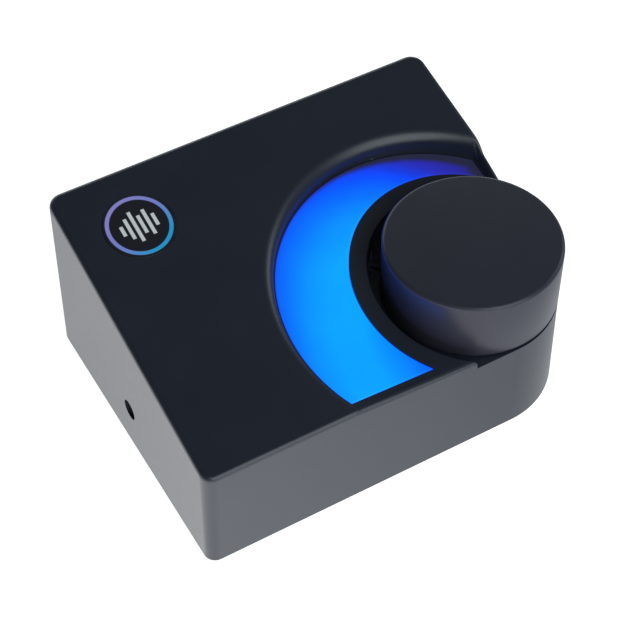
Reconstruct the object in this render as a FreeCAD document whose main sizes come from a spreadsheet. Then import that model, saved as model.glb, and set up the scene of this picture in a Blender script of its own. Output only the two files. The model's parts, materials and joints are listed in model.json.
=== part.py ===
import FreeCAD, Part
import os
import re
import Sketcher

# A desktop monitor controller: a wedge-shaped case with one large volume knob over its rounded
# front right corner and a glowing crescent around it. Millimetres. The origin is the centre of the
# case's footprint on the surface it stands on, +X is right, -Y is the front and +Z is up.

SIZES = {
    # the case: its footprint, its heights at the front and back walls and its corners
    "case_width": 120.0,
    "case_depth": 93.3,
    "front_height": 35.7,
    "back_height": 55.95,
    "corner_radius": 25.0,
    "small_radius": 4.2,
    "front_left_radius": 3.3,
    "inner_round": 1.2,
    "wall": 2.2,
    "draft_angle": 1.05,
    "front_draft_angle": 0.3,
    "edge_round": 1.5,
    "lift": 1.2,
    # the sunk platform around the knob: how far it lies under the main top at the axis of the round
    # wall that bounds it, how much it rises to the back and drops to the right, and the round wall
    "platform_depth": 3.12,
    "platform_slope": 0.177,
    "platform_tilt": 0.051,
    "arc_growth": 12.8,
    "arc_shift_left": 9.2,
    "arc_shift_front": 1.3,
    "recess_rim": 0.3,
    "recess_flare": 10.0,
    "recess_height": 20.0,
    # the ramp beside the platform's right end: its strip of the case runs from the lens opening to
    # the right wall, and its top falls from the main top to the platform
    "ramp_gap": 0.3,
    "ramp_back_from_axis": 32.0,
    "ramp_front_from_axis": 12.9,
    # the round well in which the knob stands
    "ledge_height": 31.05,
    "knob_inset": 0.5,
    "well_gap": 3.8,
    "ring_width": 4.8,
    # the knob and the brass insert in its hub
    "knob_float": 0.5,
    "knob_height": 19.15,
    "knob_wall": 2.6,
    "knob_top_round": 1.0,
    "hub_wall": 2.2,
    "hub_float": 5.6,
    "insert_wall": 1.2,
    "insert_length": 8.0,
    # the rotary control under the well floor
    "shaft_radius": 3.0,
    "shaft_flat": 1.8,
    "shaft_end_gap": 0.3,
    "shaft_clearance": 0.05,
    "shaft_tip": 0.8,
    "bushing_wall": 0.85,
    "bushing_reach": 5.0,
    "bushing_clearance": 0.15,
    "control_radius": 8.5,
    "control_depth": 8.0,
    "control_plate": 2.0,
    "control_skin": 0.6,
    "control_clearance": 0.2,
    "collar_gap": 0.1,
    "collar_width": 1.4,
    "collar_thickness": 1.0,
    "wafer_drop": 2.6,
    "wafer_thickness": 1.0,
    "wafer_tab_reach": 1.8,
    "wafer_tab_width": 13.0,
    "wiper_width": 3.4,
    "wiper_thickness": 1.2,
    "wiper_gap": 0.3,
    "nut_flats": 11.0,
    "nut_height": 2.2,
    "thread_clearance": 0.04,
    "washer_width": 2.6,
    "washer_thickness": 0.6,
    "pin_width": 1.2,
    "pin_thickness": 0.5,
    "pin_pitch": 5.0,
    "pin_hole_margin": 0.1,
    "pin_tail": 1.2,
    # the lit crescent: lens, light box, light board and lights
    "lens_margin": 3.3,
    "lens_gap": 0.2,
    "lens_flange": 1.1,
    "flange_thickness": 1.2,
    "light_box_depth": 7.0,
    "light_box_wall": 1.3,
    "light_size": 3.5,
    "light_height": 1.6,
    "light_reach": 6.0,
    "light_first_angle": 84.0,
    "light_turn_angle": 15.0,
    "ear_radius": 3.4,
    "ear_reach": 2.8,
    "ear_first_angle": 110.0,
    "ear_turn_angle": 42.0,
    # circuit boards and the posts they hang from
    "board_thickness": 1.6,
    "board_height": 10.4,
    "board_gap": 0.5,
    "board_front_from_axis": 6.45,
    "board_right_inset": 14.0,
    "board_post_radius": 3.2,
    "board_post_from_left": 14.0,
    "board_post_from_right": 3.4,
    "board_post_from_axis": 23.0,
    "board_post_from_front": 4.0,
    "board_post_from_back": 12.5,
    "board_post_from_corner": 5.0,
    "control_board_gap": 0.88,
    "control_board_width": 26.0,
    "control_board_length": 24.0,
    # screws: the case's, and the smaller ones of the boards
    "screw_radius": 1.4,
    "screw_clearance": 0.04,
    "screw_hole_radius": 1.7,
    "screw_length": 11.0,
    "screw_head_radius": 2.6,
    "screw_head_height": 1.3,
    "small_screw_radius": 1.1,
    "small_screw_hole_radius": 1.35,
    "small_screw_length": 7.0,
    "small_screw_head_radius": 2.1,
    "small_screw_head_height": 1.2,
    "drive_flats": 1.8,
    "drive_depth": 0.8,
    "post_radius": 3.8,
    "post_inset": 9.0,
    # base plate and feet
    "base_thickness": 2.6,
    "base_clearance": 0.2,
    "head_sink": 1.5,
    "head_clearance": 0.3,
    "foot_radius": 5.0,
    "foot_recess": 0.6,
    "foot_clearance": 0.1,
    "foot_side_inset": 9.0,
    "foot_end_inset": 22.0,
    "foot_bevel": 0.4,
    # the round badge on the main top
    "badge_radius": 10.0,
    "badge_thickness": 0.8,
    "badge_gap": 0.1,
    "badge_from_left": 20.0,
    "badge_from_front": 73.5,
    # the sunk connector panel in the back wall
    "panel_recess": 3.2,
    "panel_side_margin": 7.0,
    "panel_bottom_margin": 5.0,
    "panel_height": 27.0,
    # the two 6.35 mm output sockets
    "output_from_right": 29.0,
    "output_pitch": 23.0,
    "output_bore_radius": 3.25,
    "output_depth": 27.0,
    "output_end_wall": 1.0,
    "output_width": 15.6,
    "output_height": 15.0,
    "output_nose_radius": 5.6,
    "output_nose_reach": 5.2,
    "output_hole_clearance": 0.15,
    "output_washer_width": 2.0,
    "output_washer_thickness": 0.5,
    "output_nut_flats": 14.0,
    "output_nut_height": 2.2,
    "contact_gap": 0.3,
    "contact_thickness": 0.5,
    "contact_width": 3.0,
    "contact_rise": 1.5,
    "contact_pitch": 7.0,
    "contact_slot_margin": 0.2,
    # the 3.5 mm input socket in the left wall
    "input_from_front": 46.0,
    "input_hole_radius": 3.0,
    "input_bore_radius": 1.8,
    "input_height": 5.0,
    "input_width": 6.4,
    "input_depth": 14.5,
    "input_end_wall": 1.0,
    "input_nose_radius": 2.45,
    "input_nose_reach": 1.6,
    "input_foot_size": 1.0,
    "input_foot_reach": 0.8,
    "input_foot_pitch": 8.0,
    # the power socket
    "power_from_output": 25.0,
    "power_width": 8.94,
    "power_height": 3.2,
    "power_depth": 7.4,
    "power_skin": 0.3,
    "power_reach": 1.2,
    "power_opening_margin": 0.5,
    "tongue_width": 6.7,
    "tongue_thickness": 0.7,
    "tongue_setback": 0.6,
    # the pairing button and its switch
    "button_from_left": 20.5,
    "button_radius": 3.0,
    "button_clearance": 0.15,
    "button_stand_out": 1.0,
    "button_flange": 1.2,
    "button_flange_thickness": 1.0,
    "button_flange_gap": 0.1,
    "button_height": 5.0,
    "switch_size": 6.0,
    "switch_depth": 3.6,
    "plunger_radius": 1.7,
    "plunger_reach": 1.0,
    "plunger_clearance": 0.1,
    "plunger_depth": 1.4,
    "plunger_bore_depth": 2.3,
    # what stands on the main board
    "module_width": 18.0,
    "module_length": 13.0,
    "module_thickness": 1.0,
    "module_from_cable": 8.0,
    "module_from_axis": 25.3,
    "shield_margin": 1.5,
    "shield_height": 2.0,
    "shield_skin": 0.3,
    "radio_chip_size": 6.0,
    "radio_chip_height": 1.0,
    "capacitor_radius": 3.15,
    "capacitor_height": 8.0,
    "capacitor_pitch": 8.0,
    "capacitor_gap": 3.0,
    "capacitor_module_gap": 0.85,
    "chip_size": 7.0,
    "chip_height": 1.5,
    "chip_pitch": 13.0,
    "chip_from_axis": 63.0,
    "chip_from_front": 5.85,
    "header_length": 12.0,
    "header_width": 4.0,
    "header_height": 4.0,
    "light_cable_inset": 5.35,
    "light_cable_angle": 140.8,
    "cable_width": 9.0,
    "cable_thickness": 0.8,
    "strip_width": 2.5,
    "strip_height": 3.0,
    "strip_from_front": 5.0,
    "strip_shift": 5.0,
    # how far cutting shapes reach past what they cut
    "past": 1.0,
    "far": 200.0,
}

# Places worked out from the sizes. Each is a formula in the words above and in earlier places.
PLACES = {
    "left_wall": "-case_width / 2",
    "right_wall": "case_width / 2",
    "front_wall": "-case_depth / 2",
    "back_wall": "case_depth / 2",
    "axis_x": "right_wall - corner_radius",
    "axis_y": "front_wall + corner_radius",
    "top_slope": "(back_height - front_height) / case_depth",
    "top_lean": "sqrt(1 + top_slope ^ 2)",
    "lean": "sqrt(1 + platform_slope ^ 2 + platform_tilt ^ 2)",
    "knob_radius": "corner_radius - knob_inset",
    "well_radius": "knob_radius + well_gap",
    "lens_inner_radius": "well_radius + ring_width",
    "arc_radius": "lens_inner_radius + arc_growth",
    "arc_x": "axis_x - arc_shift_left",
    "arc_y": "axis_y - arc_shift_front",
    "arc_z": "lift + front_height + top_slope * (arc_y - front_wall) - platform_depth",
    "ramp_left": "lens_right + ramp_gap",
    "ramp_back": "axis_y + ramp_back_from_axis",
    "ramp_front": "axis_y + ramp_front_from_axis",
    "ramp_high": "lift + front_height + top_slope * (ramp_back - front_wall)",
    "ramp_low": "arc_z + platform_slope * (ramp_front - arc_y) - platform_tilt * (right_wall - arc_x)",
    "floor_top": "lift + ledge_height",
    "floor_bottom": "floor_top - wall",
    "plate_bottom": "floor_bottom - control_plate",
    "control_bottom": "plate_bottom - control_depth",
    "control_board_bottom": "control_bottom - board_thickness",
    "corner_post_reach": "(corner_radius - post_inset) * cos(45)",
    "control_board_edge": "corner_post_reach - (post_radius + control_board_gap) * cos(45)",
    "control_board_right": "axis_x + control_board_edge",
    "control_board_front": "axis_y - control_board_edge",
    "wafer_top": "plate_bottom - wafer_drop",
    "wafer_bottom": "wafer_top - wafer_thickness",
    "wiper_top": "wafer_bottom - wiper_gap",
    "wiper_bottom": "wiper_top - wiper_thickness",
    "bushing_radius": "shaft_radius + shaft_clearance + bushing_wall",
    "knob_bottom": "floor_top + knob_float",
    "knob_top": "knob_bottom + knob_height",
    "hub_bottom": "floor_top + hub_float",
    "hub_top": "hub_bottom + insert_length",
    "insert_radius": "shaft_radius + shaft_clearance + insert_wall",
    "nut_bottom": "floor_top + washer_thickness",
    "base_top": "lift + base_thickness",
    "head_seat": "lift + head_sink",
    "board_bottom": "lift + board_height",
    "board_top": "board_bottom + board_thickness",
    "panel_face": "back_wall - panel_recess",
    "panel_inside": "panel_face - wall",
    "board_back": "panel_inside - board_gap",
    "board_front": "axis_y + board_front_from_axis",
    "board_left": "left_wall + wall + board_gap",
    "board_right": "right_wall - board_right_inset",
    "lens_right": "right_wall - lens_margin",
    "lens_front": "front_wall + lens_margin",
    "lens_bottom": "-wall - flange_thickness",
    "light_board_top": "lens_bottom - light_box_depth",
    "light_board_bottom": "light_board_top - board_thickness",
    "light_cable_x": "arc_x + (arc_radius - light_cable_inset) * cos(light_cable_angle)",
    "light_cable_y": "arc_y + (arc_radius - light_cable_inset) * sin(light_cable_angle)",
    "right_output_x": "right_wall - output_from_right",
    "left_output_x": "right_output_x - output_pitch",
    "output_z": "board_top + output_height / 2",
    "output_end": "panel_inside - output_depth",
    "input_y": "front_wall + input_from_front",
    "input_z": "board_top + input_height / 2",
    "button_x": "left_wall + button_from_left",
    "button_z": "board_top + button_height",
    "button_back": "panel_inside - button_flange_gap - button_flange_thickness",
    "switch_face": "button_back - plunger_reach",
    "power_x": "left_output_x - power_from_output",
    "power_z": "board_top + power_height / 2",
    "power_mouth": "panel_inside + power_reach",
    "module_left": "light_cable_x - module_from_cable - module_width",
    "module_front": "axis_y + module_from_axis",
    "module_top": "board_top + module_thickness",
    "shield_left": "module_left + shield_margin",
    "shield_front": "module_front + shield_margin",
    "shield_width": "module_width - 2 * shield_margin",
    "shield_length": "module_length - 2 * shield_margin",
    "capacitor_x": "left_output_x - output_width / 2 - capacitor_gap - capacitor_radius",
    "capacitor_y": "module_front + module_length + capacitor_module_gap + capacitor_radius",
    "strip_left": "axis_x - header_length + strip_shift",
    "strip_front": "board_front + strip_from_front",
    "badge_x": "left_wall + badge_from_left",
    "badge_y": "front_wall + badge_from_front",
}

WORD = re.compile(r"[A-Za-z_][A-Za-z_0-9]*")
UP = (FreeCAD.Vector(0, 0, 1), 0)
BACK = (FreeCAD.Vector(1, 0, 0), -90)
LEFT = (FreeCAD.Vector(0, 1, 0), -90)

LIGHTS = 9
LIGHT_BOARD_SCREWS = 3
TERMINALS = 3
OUTPUT_CONTACTS = 3
CAPACITORS = 4
CHIPS = 3

doc = FreeCAD.newDocument("MonitorController")
sheet = doc.addObject("Spreadsheet::Sheet", "Sizes")
sub_parts = []


def fill_sheet():
    """One row for each size: its name, and its value under an alias of that name."""
    for row, (name, value) in enumerate(SIZES.items(), start=1):
        sheet.set(f"A{row}", name)
        sheet.set(f"B{row}", str(value))
        sheet.setAlias(f"B{row}", name)
    doc.recompute()


def expression(formula):
    """The formula with every size and place in it turned into references to the sheet."""
    def reference(match):
        word = match.group(0)
        if word in PLACES:
            return "(" + expression(PLACES[word]) + ")"
        if word in SIZES:
            return "Sizes." + word
        return word
    return WORD.sub(reference, str(formula))


def value(formula):
    """What a formula comes to now."""
    result = sheet.evalExpression(expression(formula))
    return float(getattr(result, "Value", result))


def bind(thing, **formulas):
    """Ties each named property to its formula."""
    for name, formula in formulas.items():
        thing.setExpression(name, expression(formula))
    return thing


def place(thing, base, direction=UP):
    """Puts the thing's own origin at base and turns its Z axis to direction."""
    thing.Placement.Rotation = FreeCAD.Rotation(*direction)
    for letter, formula in zip("xyz", base):
        thing.setExpression("Placement.Base." + letter, expression(formula))
    return thing


def lean_with_platform(thing):
    """Turns the thing's Z axis square to the platform, which slopes along Y and tilts along X."""
    thing.setExpression("Placement.Rotation.Axis.x", expression("platform_slope"))
    thing.setExpression("Placement.Rotation.Axis.y", expression("platform_tilt"))
    thing.setExpression("Placement.Rotation.Axis.z", "0")
    thing.setExpression("Placement.Rotation.Angle", expression("atan(sqrt(lean ^ 2 - 1))"))
    return thing


def box(name, corner, size):
    """A block from its low corner."""
    block = doc.addObject("Part::Box", name)
    bind(block, Length=size[0], Width=size[1], Height=size[2])
    return place(block, corner)


def cylinder(name, base, radius, height, direction=UP):
    """A round bar from the centre of its base."""
    bar = doc.addObject("Part::Cylinder", name)
    bind(bar, Radius=radius, Height=height)
    return place(bar, base, direction)


def cone(name, base, low_radius, high_radius, height):
    """A standing frustum from the centre of its base."""
    frustum = doc.addObject("Part::Cone", name)
    bind(frustum, Radius1=low_radius, Radius2=high_radius, Height=height)
    return place(frustum, base)


def prism(name, base, sides, flats, height, direction=UP):
    """A regular prism, flats across opposite sides, from the centre of its base."""
    bar = doc.addObject("Part::Prism", name)
    bar.Polygon = sides
    bind(bar, Circumradius=f"({flats}) / 2 / cos({180 / sides})", Height=height)
    return place(bar, base, direction)


def fuse(name, *shapes):
    """The shapes joined."""
    joined = doc.addObject("Part::MultiFuse", name)
    joined.Shapes = list(shapes)
    return joined


def common(name, *shapes):
    """What the shapes share."""
    shared = doc.addObject("Part::MultiCommon", name)
    shared.Shapes = list(shapes)
    return shared


def cut(name, base, *tools):
    """The base without the tools."""
    rest = doc.addObject("Part::Cut", name)
    rest.Base = base
    rest.Tool = tools[0] if len(tools) == 1 else fuse(name + "_tools", *tools)
    return rest


def group(name, shapes):
    """Separate solids under one name."""
    several = doc.addObject("Part::Compound", name)
    several.Links = list(shapes)
    return several


def sub_part(label, thing):
    """Names a finished piece; its label names its file."""
    thing.Label = label
    sub_parts.append(thing)
    return thing


def new_sketch(body, name, role, height="0"):
    """A sketch on one of the body's own origin planes, raised from it by height."""
    plane = [f for f in body.Origin.OriginFeatures if f.Role == role][0]
    sketch = body.newObject("Sketcher::SketchObject", name)
    sketch.AttachmentSupport = [(plane, "")]
    sketch.MapMode = "FlatFace"
    sketch.setExpression("AttachmentOffset.Base.z", expression(height))
    return sketch


def draw_outline(sketch, corners):
    """A closed outline of straight lines whose corners are bound to pairs of formulas."""
    points = [FreeCAD.Vector(value(across), value(along), 0) for across, along in corners]
    for number, point in enumerate(points):
        sketch.addGeometry(Part.LineSegment(point, points[(number + 1) % len(points)]), False)
    for number, (across, along) in enumerate(corners):
        after = (number + 1) % len(corners)
        sketch.addConstraint(Sketcher.Constraint("Coincident", number, 2, after, 1))
        for kind, formula, axis in (("DistanceX", across, -2), ("DistanceY", along, -1)):
            if formula == "0":
                sketch.addConstraint(Sketcher.Constraint("PointOnObject", number, 1, axis))
                continue
            index = sketch.addConstraint(
                Sketcher.Constraint(kind, -1, 1, number, 1, value(formula)))
            sketch.setExpression(f"Constraints[{index}]", expression(formula))


def pad_outline(body, name, sketch, height):
    """A pad of the sketch."""
    pad = body.newObject("PartDesign::Pad", name)
    pad.Profile = sketch
    bind(pad, Length=height)
    doc.recompute()
    return pad


def edges_that(feature, test):
    """The names of the feature's edges whose ends all pass the test."""
    return [f"Edge{number}" for number, edge in enumerate(feature.Shape.Edges, start=1)
            if all(test(vertex.Point) for vertex in edge.Vertexes)]


def round_edges(body, name, feature, edges, radius):
    """A fillet on the named edges."""
    fillet = body.newObject("PartDesign::Fillet", name)
    fillet.Base = (feature, edges)
    bind(fillet, Radius=radius)
    doc.recompute()
    return fillet


def upright_edges(feature, right_front):
    """The four corner edges: the one at the front right, or the other three."""
    found = []
    for number, edge in enumerate(feature.Shape.Edges, start=1):
        low, high = [vertex.Point for vertex in edge.Vertexes]
        if abs(high.z - low.z) < edge.Length / 2:
            continue
        middle = (low + high) / 2
        if (middle.x > 0 and middle.y < 0) == right_front:
            found.append(f"Edge{number}")
    return found


def lean_walls(body, name, feature, is_front, angle):
    """Leans the block's front wall, or its other walls, inwards from the foot up by the angle."""
    faces = {f"Face{number}": face for number, face in enumerate(feature.Shape.Faces, start=1)}
    middles = {label: face.CenterOfMass for label, face in faces.items()}
    foot = min(middles, key=lambda label: middles[label].z)
    roof = max(middles, key=lambda label: middles[label].z)
    front = min(middles, key=lambda label: middles[label].y)
    others = [label for label in faces if label not in (foot, roof, front)]
    draft = body.newObject("PartDesign::Draft", name)
    draft.Base = (feature, [front] if is_front else others)
    draft.NeutralPlane = (feature, [foot])
    bind(draft, Angle=angle)
    doc.recompute()
    return draft


def rounded_block(name, inset, height, front_left, leaning):
    """A block over the case's footprint, drawn in by inset, with the case's corners rounded.

    The front left corner is the sharpest and has its own radius. Leaning walls have the case's draft.
    """
    body = doc.addObject("PartDesign::Body", name)
    sides = (f"left_wall + ({inset})", f"right_wall - ({inset})")
    ends = (f"front_wall + ({inset})", f"back_wall - ({inset})")
    corners = [(sides[0], ends[0]), (sides[1], ends[0]), (sides[1], ends[1]), (sides[0], ends[1])]
    footprint = new_sketch(body, name + "_footprint", "XY_Plane", "lift")
    draw_outline(footprint, corners)
    block = pad_outline(body, name + "_pad", footprint, height)
    if leaning:
        block = lean_walls(body, name + "_front_draft", block, True, "front_draft_angle")
        block = lean_walls(body, name + "_draft", block, False, "draft_angle")
    big = round_edges(body, name + "_knob_corner", block, upright_edges(block, True),
                      f"corner_radius - ({inset})")
    back = round_edges(body, name + "_back_corners", big, small_corner_edges(big, 1),
                       f"small_radius - ({inset})")
    small = round_edges(body, name + "_front_corner", back, small_corner_edges(back, -1), front_left)
    return body, small


def small_corner_edges(feature, side):
    """The upright edges at the two back corners, side 1, or at the front left one, side -1."""
    reach_x = value("case_width") / 2 - value("corner_radius")
    reach_y = value("case_depth") / 2 - value("corner_radius")
    found = []
    for number, edge in enumerate(feature.Shape.Edges, start=1):
        low, high = [vertex.Point for vertex in edge.Vertexes]
        upright = abs(high.z - low.z) > edge.Length / 2
        if upright and abs(low.x) > reach_x and side * low.y > reach_y and (side > 0 or low.x < 0):
            found.append(f"Edge{number}")
    return found


def slope_top(body, name, drop):
    """Cuts the block down to the sloping main top, lowered by drop."""
    level = f"lift + front_height - ({drop}) + top_slope *"
    corners = [
        ("front_wall - past", f"{level} (-past)"),
        ("back_wall + past", f"{level} (case_depth + past)"),
        ("back_wall + past", "far"),
        ("front_wall - past", "far"),
    ]
    side_view = new_sketch(body, name + "_side_view", "YZ_Plane")
    draw_outline(side_view, corners)
    pocket = body.newObject("PartDesign::Pocket", name + "_slope")
    pocket.Profile = side_view
    pocket.Midplane = True
    bind(pocket, Length="far")
    doc.recompute()
    return pocket


def wedge(name, inset, drop, front_left):
    """The wedge-shaped form of the case, drawn in by inset and lowered by drop."""
    body, block = rounded_block(name, inset, "back_height + past", front_left, True)
    return body, slope_top(body, name, drop)


def along_platform(offset):
    """A point on the round wall's axis, offset square to the platform."""
    return (
        f"arc_x + ({offset}) * platform_tilt / lean",
        f"arc_y - ({offset}) * platform_slope / lean",
        f"arc_z + ({offset}) / lean",
    )


def over_platform(across, along, offset):
    """The platform's point at that place in plan, then offset square to the platform."""
    level = f"arc_z + platform_slope * ({along} - arc_y) - platform_tilt * ({across} - arc_x)"
    return (
        f"{across} + ({offset}) * platform_tilt / lean",
        f"{along} - ({offset}) * platform_slope / lean",
        f"{level} + ({offset}) / lean",
    )


def ramp_form(name):
    """The strip right of the lens opening: all that lies under its ramp, or behind the ramp."""
    body = doc.addObject("PartDesign::Body", name)
    side_view = new_sketch(body, name + "_side_view", "YZ_Plane", "ramp_left")
    draw_outline(side_view, [
        ("ramp_front", "0"),
        ("back_wall", "0"),
        ("back_wall", "far"),
        ("ramp_back", "far"),
        ("ramp_back", "ramp_high"),
        ("ramp_front", "ramp_low"),
    ])
    pad_outline(body, name + "_pad", side_view, "far")
    return body


def platform_disc(name, grow, low, high):
    """A disc about the round wall's axis, from low to high, square to the platform."""
    disc = cylinder(name, along_platform(low), f"arc_radius + ({grow})", f"{high} - ({low})")
    return lean_with_platform(disc)


def recess_form(name, grow):
    """The sunk space over the platform, its round wall flaring outwards; grown all round by grow."""
    low = f"-({grow})"
    radius = f"(arc_radius + recess_rim + {grow})"
    height = f"(recess_height + {grow})"
    form = cone(name, along_platform(low), radius, f"{radius} + {height} * tan(recess_flare)", height)
    return lean_with_platform(form)


def crescent(name, grow, cut_grow, low, high):
    """A slice of the lens's outline between two offsets from the platform.

    Its round edges are grown by grow, its straight front and right edges by cut_grow.
    """
    disc = platform_disc(name + "_disc", grow, low, high)
    frame = box(name + "_frame", ("left_wall", f"lens_front - ({cut_grow})", "0"),
                (f"lens_right + ({cut_grow}) - left_wall", "case_depth", "far"))
    trimmed = common(name + "_trimmed", disc, frame)
    core = cylinder(name + "_core", ("axis_x", "axis_y", "0"), f"lens_inner_radius - ({grow})", "far")
    return cut(name, trimmed, core)


def turned(name, across, along, profile):
    """A turned piece: its half outline of radius and height pairs, swung round an upright axis."""
    body = doc.addObject("PartDesign::Body", name)
    sketch = new_sketch(body, name + "_half_outline", "XZ_Plane")
    draw_outline(sketch, profile)
    turn = body.newObject("PartDesign::Revolution", name + "_turn")
    turn.Profile = sketch
    turn.ReferenceAxis = (sketch, ["V_Axis"])
    turn.Angle = 360
    doc.recompute()
    place(body, (across, along, "0"))
    return body, turn


def ring(name, base, outer, inner, height, direction=UP):
    """A flat ring from the centre of its base."""
    disc = cylinder(name + "_disc", base, outer, height, direction)
    hole = cylinder(name + "_hole", base, inner, height, direction)
    return cut(name, disc, hole)


def nut(name, base, flats, inner, height, direction=UP):
    """A hexagon nut from the centre of its seat."""
    blank = prism(name + "_blank", base, 6, flats, height, direction)
    hole = cylinder(name + "_hole", base, inner, height, direction)
    return cut(name, blank, hole)


def screw(name, base, radius, length, head_radius, head_height):
    """A pan head screw that points up from the seat of its head, with a driver socket."""
    across, along, seat = base
    low = f"{seat} - {head_height}"
    shank = cylinder(name + "_shank", base, radius, length)
    head = cylinder(name + "_head", (across, along, low), head_radius, head_height)
    socket = prism(name + "_socket", (across, along, low), 6, "drive_flats", "drive_depth")
    return cut(name, fuse(name + "_blank", shank, head), socket)


def ear_places(reach):
    """Places that far outside the lens's round edge, one in line with each light board screw."""
    far_out = f"(arc_radius + {reach})"
    turns = [f"(ear_first_angle + {number} * ear_turn_angle)" for number in range(LIGHT_BOARD_SCREWS)]
    return [(f"(arc_x + {far_out} * cos{turn})", f"(arc_y + {far_out} * sin{turn})")
            for turn in turns]


def ears(name, radius, low, high, reach="ear_radius + ear_reach"):
    """An upright of that radius, square to the platform, in line with each light board screw."""
    return [lean_with_platform(cylinder(f"{name}_{number}", over_platform(across, along, low),
                                        radius, f"{high} - ({low})"))
            for number, (across, along) in enumerate(ear_places(reach))]


def case_post_places():
    """Where the four case screws stand: near three square corners and inside the round one."""
    left = "left_wall + post_inset"
    right = "right_wall - post_inset"
    front = "front_wall + post_inset"
    back = "panel_face - post_inset"
    return [
        (left, front),
        (left, back),
        (right, back),
        ("axis_x + corner_post_reach", "axis_y - corner_post_reach"),
    ]


def board_post_places():
    """Where the four main board screws stand, clear of the crescent and of the sockets."""
    left = "board_left + board_post_from_left"
    front = "board_front + board_post_from_front"
    return [
        (left, front),
        (left, "board_back - board_post_from_back"),
        ("axis_x - board_post_from_axis", front),
        ("board_right - board_post_from_right", "board_back - board_post_from_corner"),
    ]


def posts(name, places, radius, bottom):
    """Uprights at those places from bottom to far above the case."""
    return [cylinder(f"{name}_{number}", (across, along, bottom), radius, "far")
            for number, (across, along) in enumerate(places)]


def holes(name, places, radius, bottom, top):
    """Upright holes at those places, opened a little past their bottom end."""
    return [cylinder(f"{name}_{number}", (across, along, f"{bottom} - past"), radius,
                     f"{top} - ({bottom}) + past")
            for number, (across, along) in enumerate(places)]


def badge_disc(name, grow, low, high):
    """A disc on the main top at the badge's place, between two offsets from that top."""
    level = f"lift + front_height + top_slope * (badge_y - front_wall) + ({low}) * top_lean"
    disc = cylinder(name, ("badge_x", "badge_y", level), f"badge_radius + ({grow})",
                    f"{high} - ({low})")
    disc.Placement.Rotation = FreeCAD.Rotation(FreeCAD.Vector(1, 0, 0), 1)
    disc.setExpression("Placement.Rotation.Angle", expression("atan(top_slope)"))
    return disc


def oval_bar(name, centre, mouth, width, height, length):
    """A bar with round sides that runs forward from its mouth in the back panel."""
    across, level = centre
    back = f"{mouth} - ({length})"
    reach = f"(({width}) - ({height})) / 2"
    middle = box(name + "_middle", (f"{across} - {reach}", back, f"{level} - ({height}) / 2"),
                 (f"2 * {reach}", length, height))
    sides = [cylinder(f"{name}_side_{number}", (f"{across} {sign} {reach}", back, level),
                      f"({height}) / 2", length, BACK)
             for number, sign in enumerate("-+")]
    return fuse(name, middle, *sides)


def output_places():
    """The middles of the two output sockets."""
    return ["left_output_x", "right_output_x"]


def on_main_top(point):
    """Whether a point lies on the main top."""
    level = value("lift + front_height + top_slope * case_depth / 2") + value("top_slope") * point.y
    return abs(point.z - level) < 0.01


def shell_keeps():
    """What stays solid inside the case walls: skins under the sunk spaces, and screw posts."""
    kept = [
        recess_form("platform_skin", "wall"),
        cylinder("well_skin", ("axis_x", "axis_y", "floor_bottom"), "well_radius + wall", "far"),
        box("panel_skin", ("left_wall", "panel_inside", "base_top"),
            ("case_width", "case_depth", "far")),
    ]
    kept += posts("case_post", case_post_places(), "post_radius", "base_top")
    kept += posts("board_post", board_post_places(), "board_post_radius", "board_top")
    kept += ears("light_post", "ear_radius", "light_board_top", "recess_height")
    return kept


def panel_openings():
    """The holes in the back panel for sockets and button."""
    openings = [
        cylinder(f"output_hole_{number}", (across, "panel_inside - past", "output_z"),
                 "output_nose_radius + output_hole_clearance", "wall + 2 * past", BACK)
        for number, across in enumerate(output_places())
    ]
    openings.append(cylinder("button_hole", ("button_x", "panel_inside - past", "button_z"),
                             "button_radius + button_clearance", "wall + 2 * past", BACK))
    openings.append(oval_bar("power_opening", ("power_x", "power_z"), "(panel_face + past)",
                             "power_width + 2 * power_opening_margin",
                             "power_height + 2 * power_opening_margin", "wall + 2 * past"))
    return openings


def make_upper_shell():
    """The moulded top and walls, with the platform, the well, screw posts and openings."""
    outside_body, slope = wedge("outside", "0", "0", "front_left_radius")
    top = edges_that(slope, on_main_top)
    round_edges(outside_body, "outside_top_edge", slope, top, "edge_round")
    inside_body, _ = wedge("inside", "wall", "wall * top_lean", "inner_round")
    taken = [
        cut("shell_hollow", inside_body, *shell_keeps()),
        cut("recess", recess_form("recess_space", "0"), ramp_form("ramp")),
        cylinder("well", ("axis_x", "axis_y", "floor_top"), "well_radius", "far"),
        crescent("lens_opening", "0", "0", "-wall - past", "past"),
        cylinder("bushing_hole", ("axis_x", "axis_y", "floor_bottom - past"),
                 "bushing_radius + bushing_clearance", "wall + 2 * past"),
        badge_disc("badge_seat", "badge_gap", "-badge_thickness", "past"),
        box("panel_sink",
            ("left_wall + panel_side_margin", "panel_face", "lift + panel_bottom_margin"),
            ("case_width - 2 * panel_side_margin", "case_depth", "panel_height")),
        cylinder("input_hole", ("left_wall + wall + past", "input_y", "input_z"),
                 "input_hole_radius", "wall + 2 * past", LEFT),
    ]
    taken += panel_openings()
    taken += holes("case_pilot", case_post_places(), "screw_radius + screw_clearance", "base_top",
                   "(head_seat + screw_length + screw_clearance)")
    taken += holes("board_pilot", board_post_places(), "small_screw_radius + screw_clearance",
                   "board_top", "(board_bottom + small_screw_length + screw_clearance)")
    taken += ears("light_pilot", "small_screw_radius + screw_clearance", "light_board_top",
                  "light_board_bottom + small_screw_length + screw_clearance")
    sub_part("upper_shell", cut("shell", outside_body, *taken))


def foot_places():
    """Where the four feet stick to the base plate."""
    left = "left_wall + foot_side_inset"
    right = "right_wall - foot_side_inset"
    front = "front_wall + foot_end_inset"
    back = "back_wall - foot_end_inset"
    return {
        "foot_front_left": (left, front),
        "foot_front_right": (right, front),
        "foot_rear_left": (left, back),
        "foot_rear_right": (right, back),
    }


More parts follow.
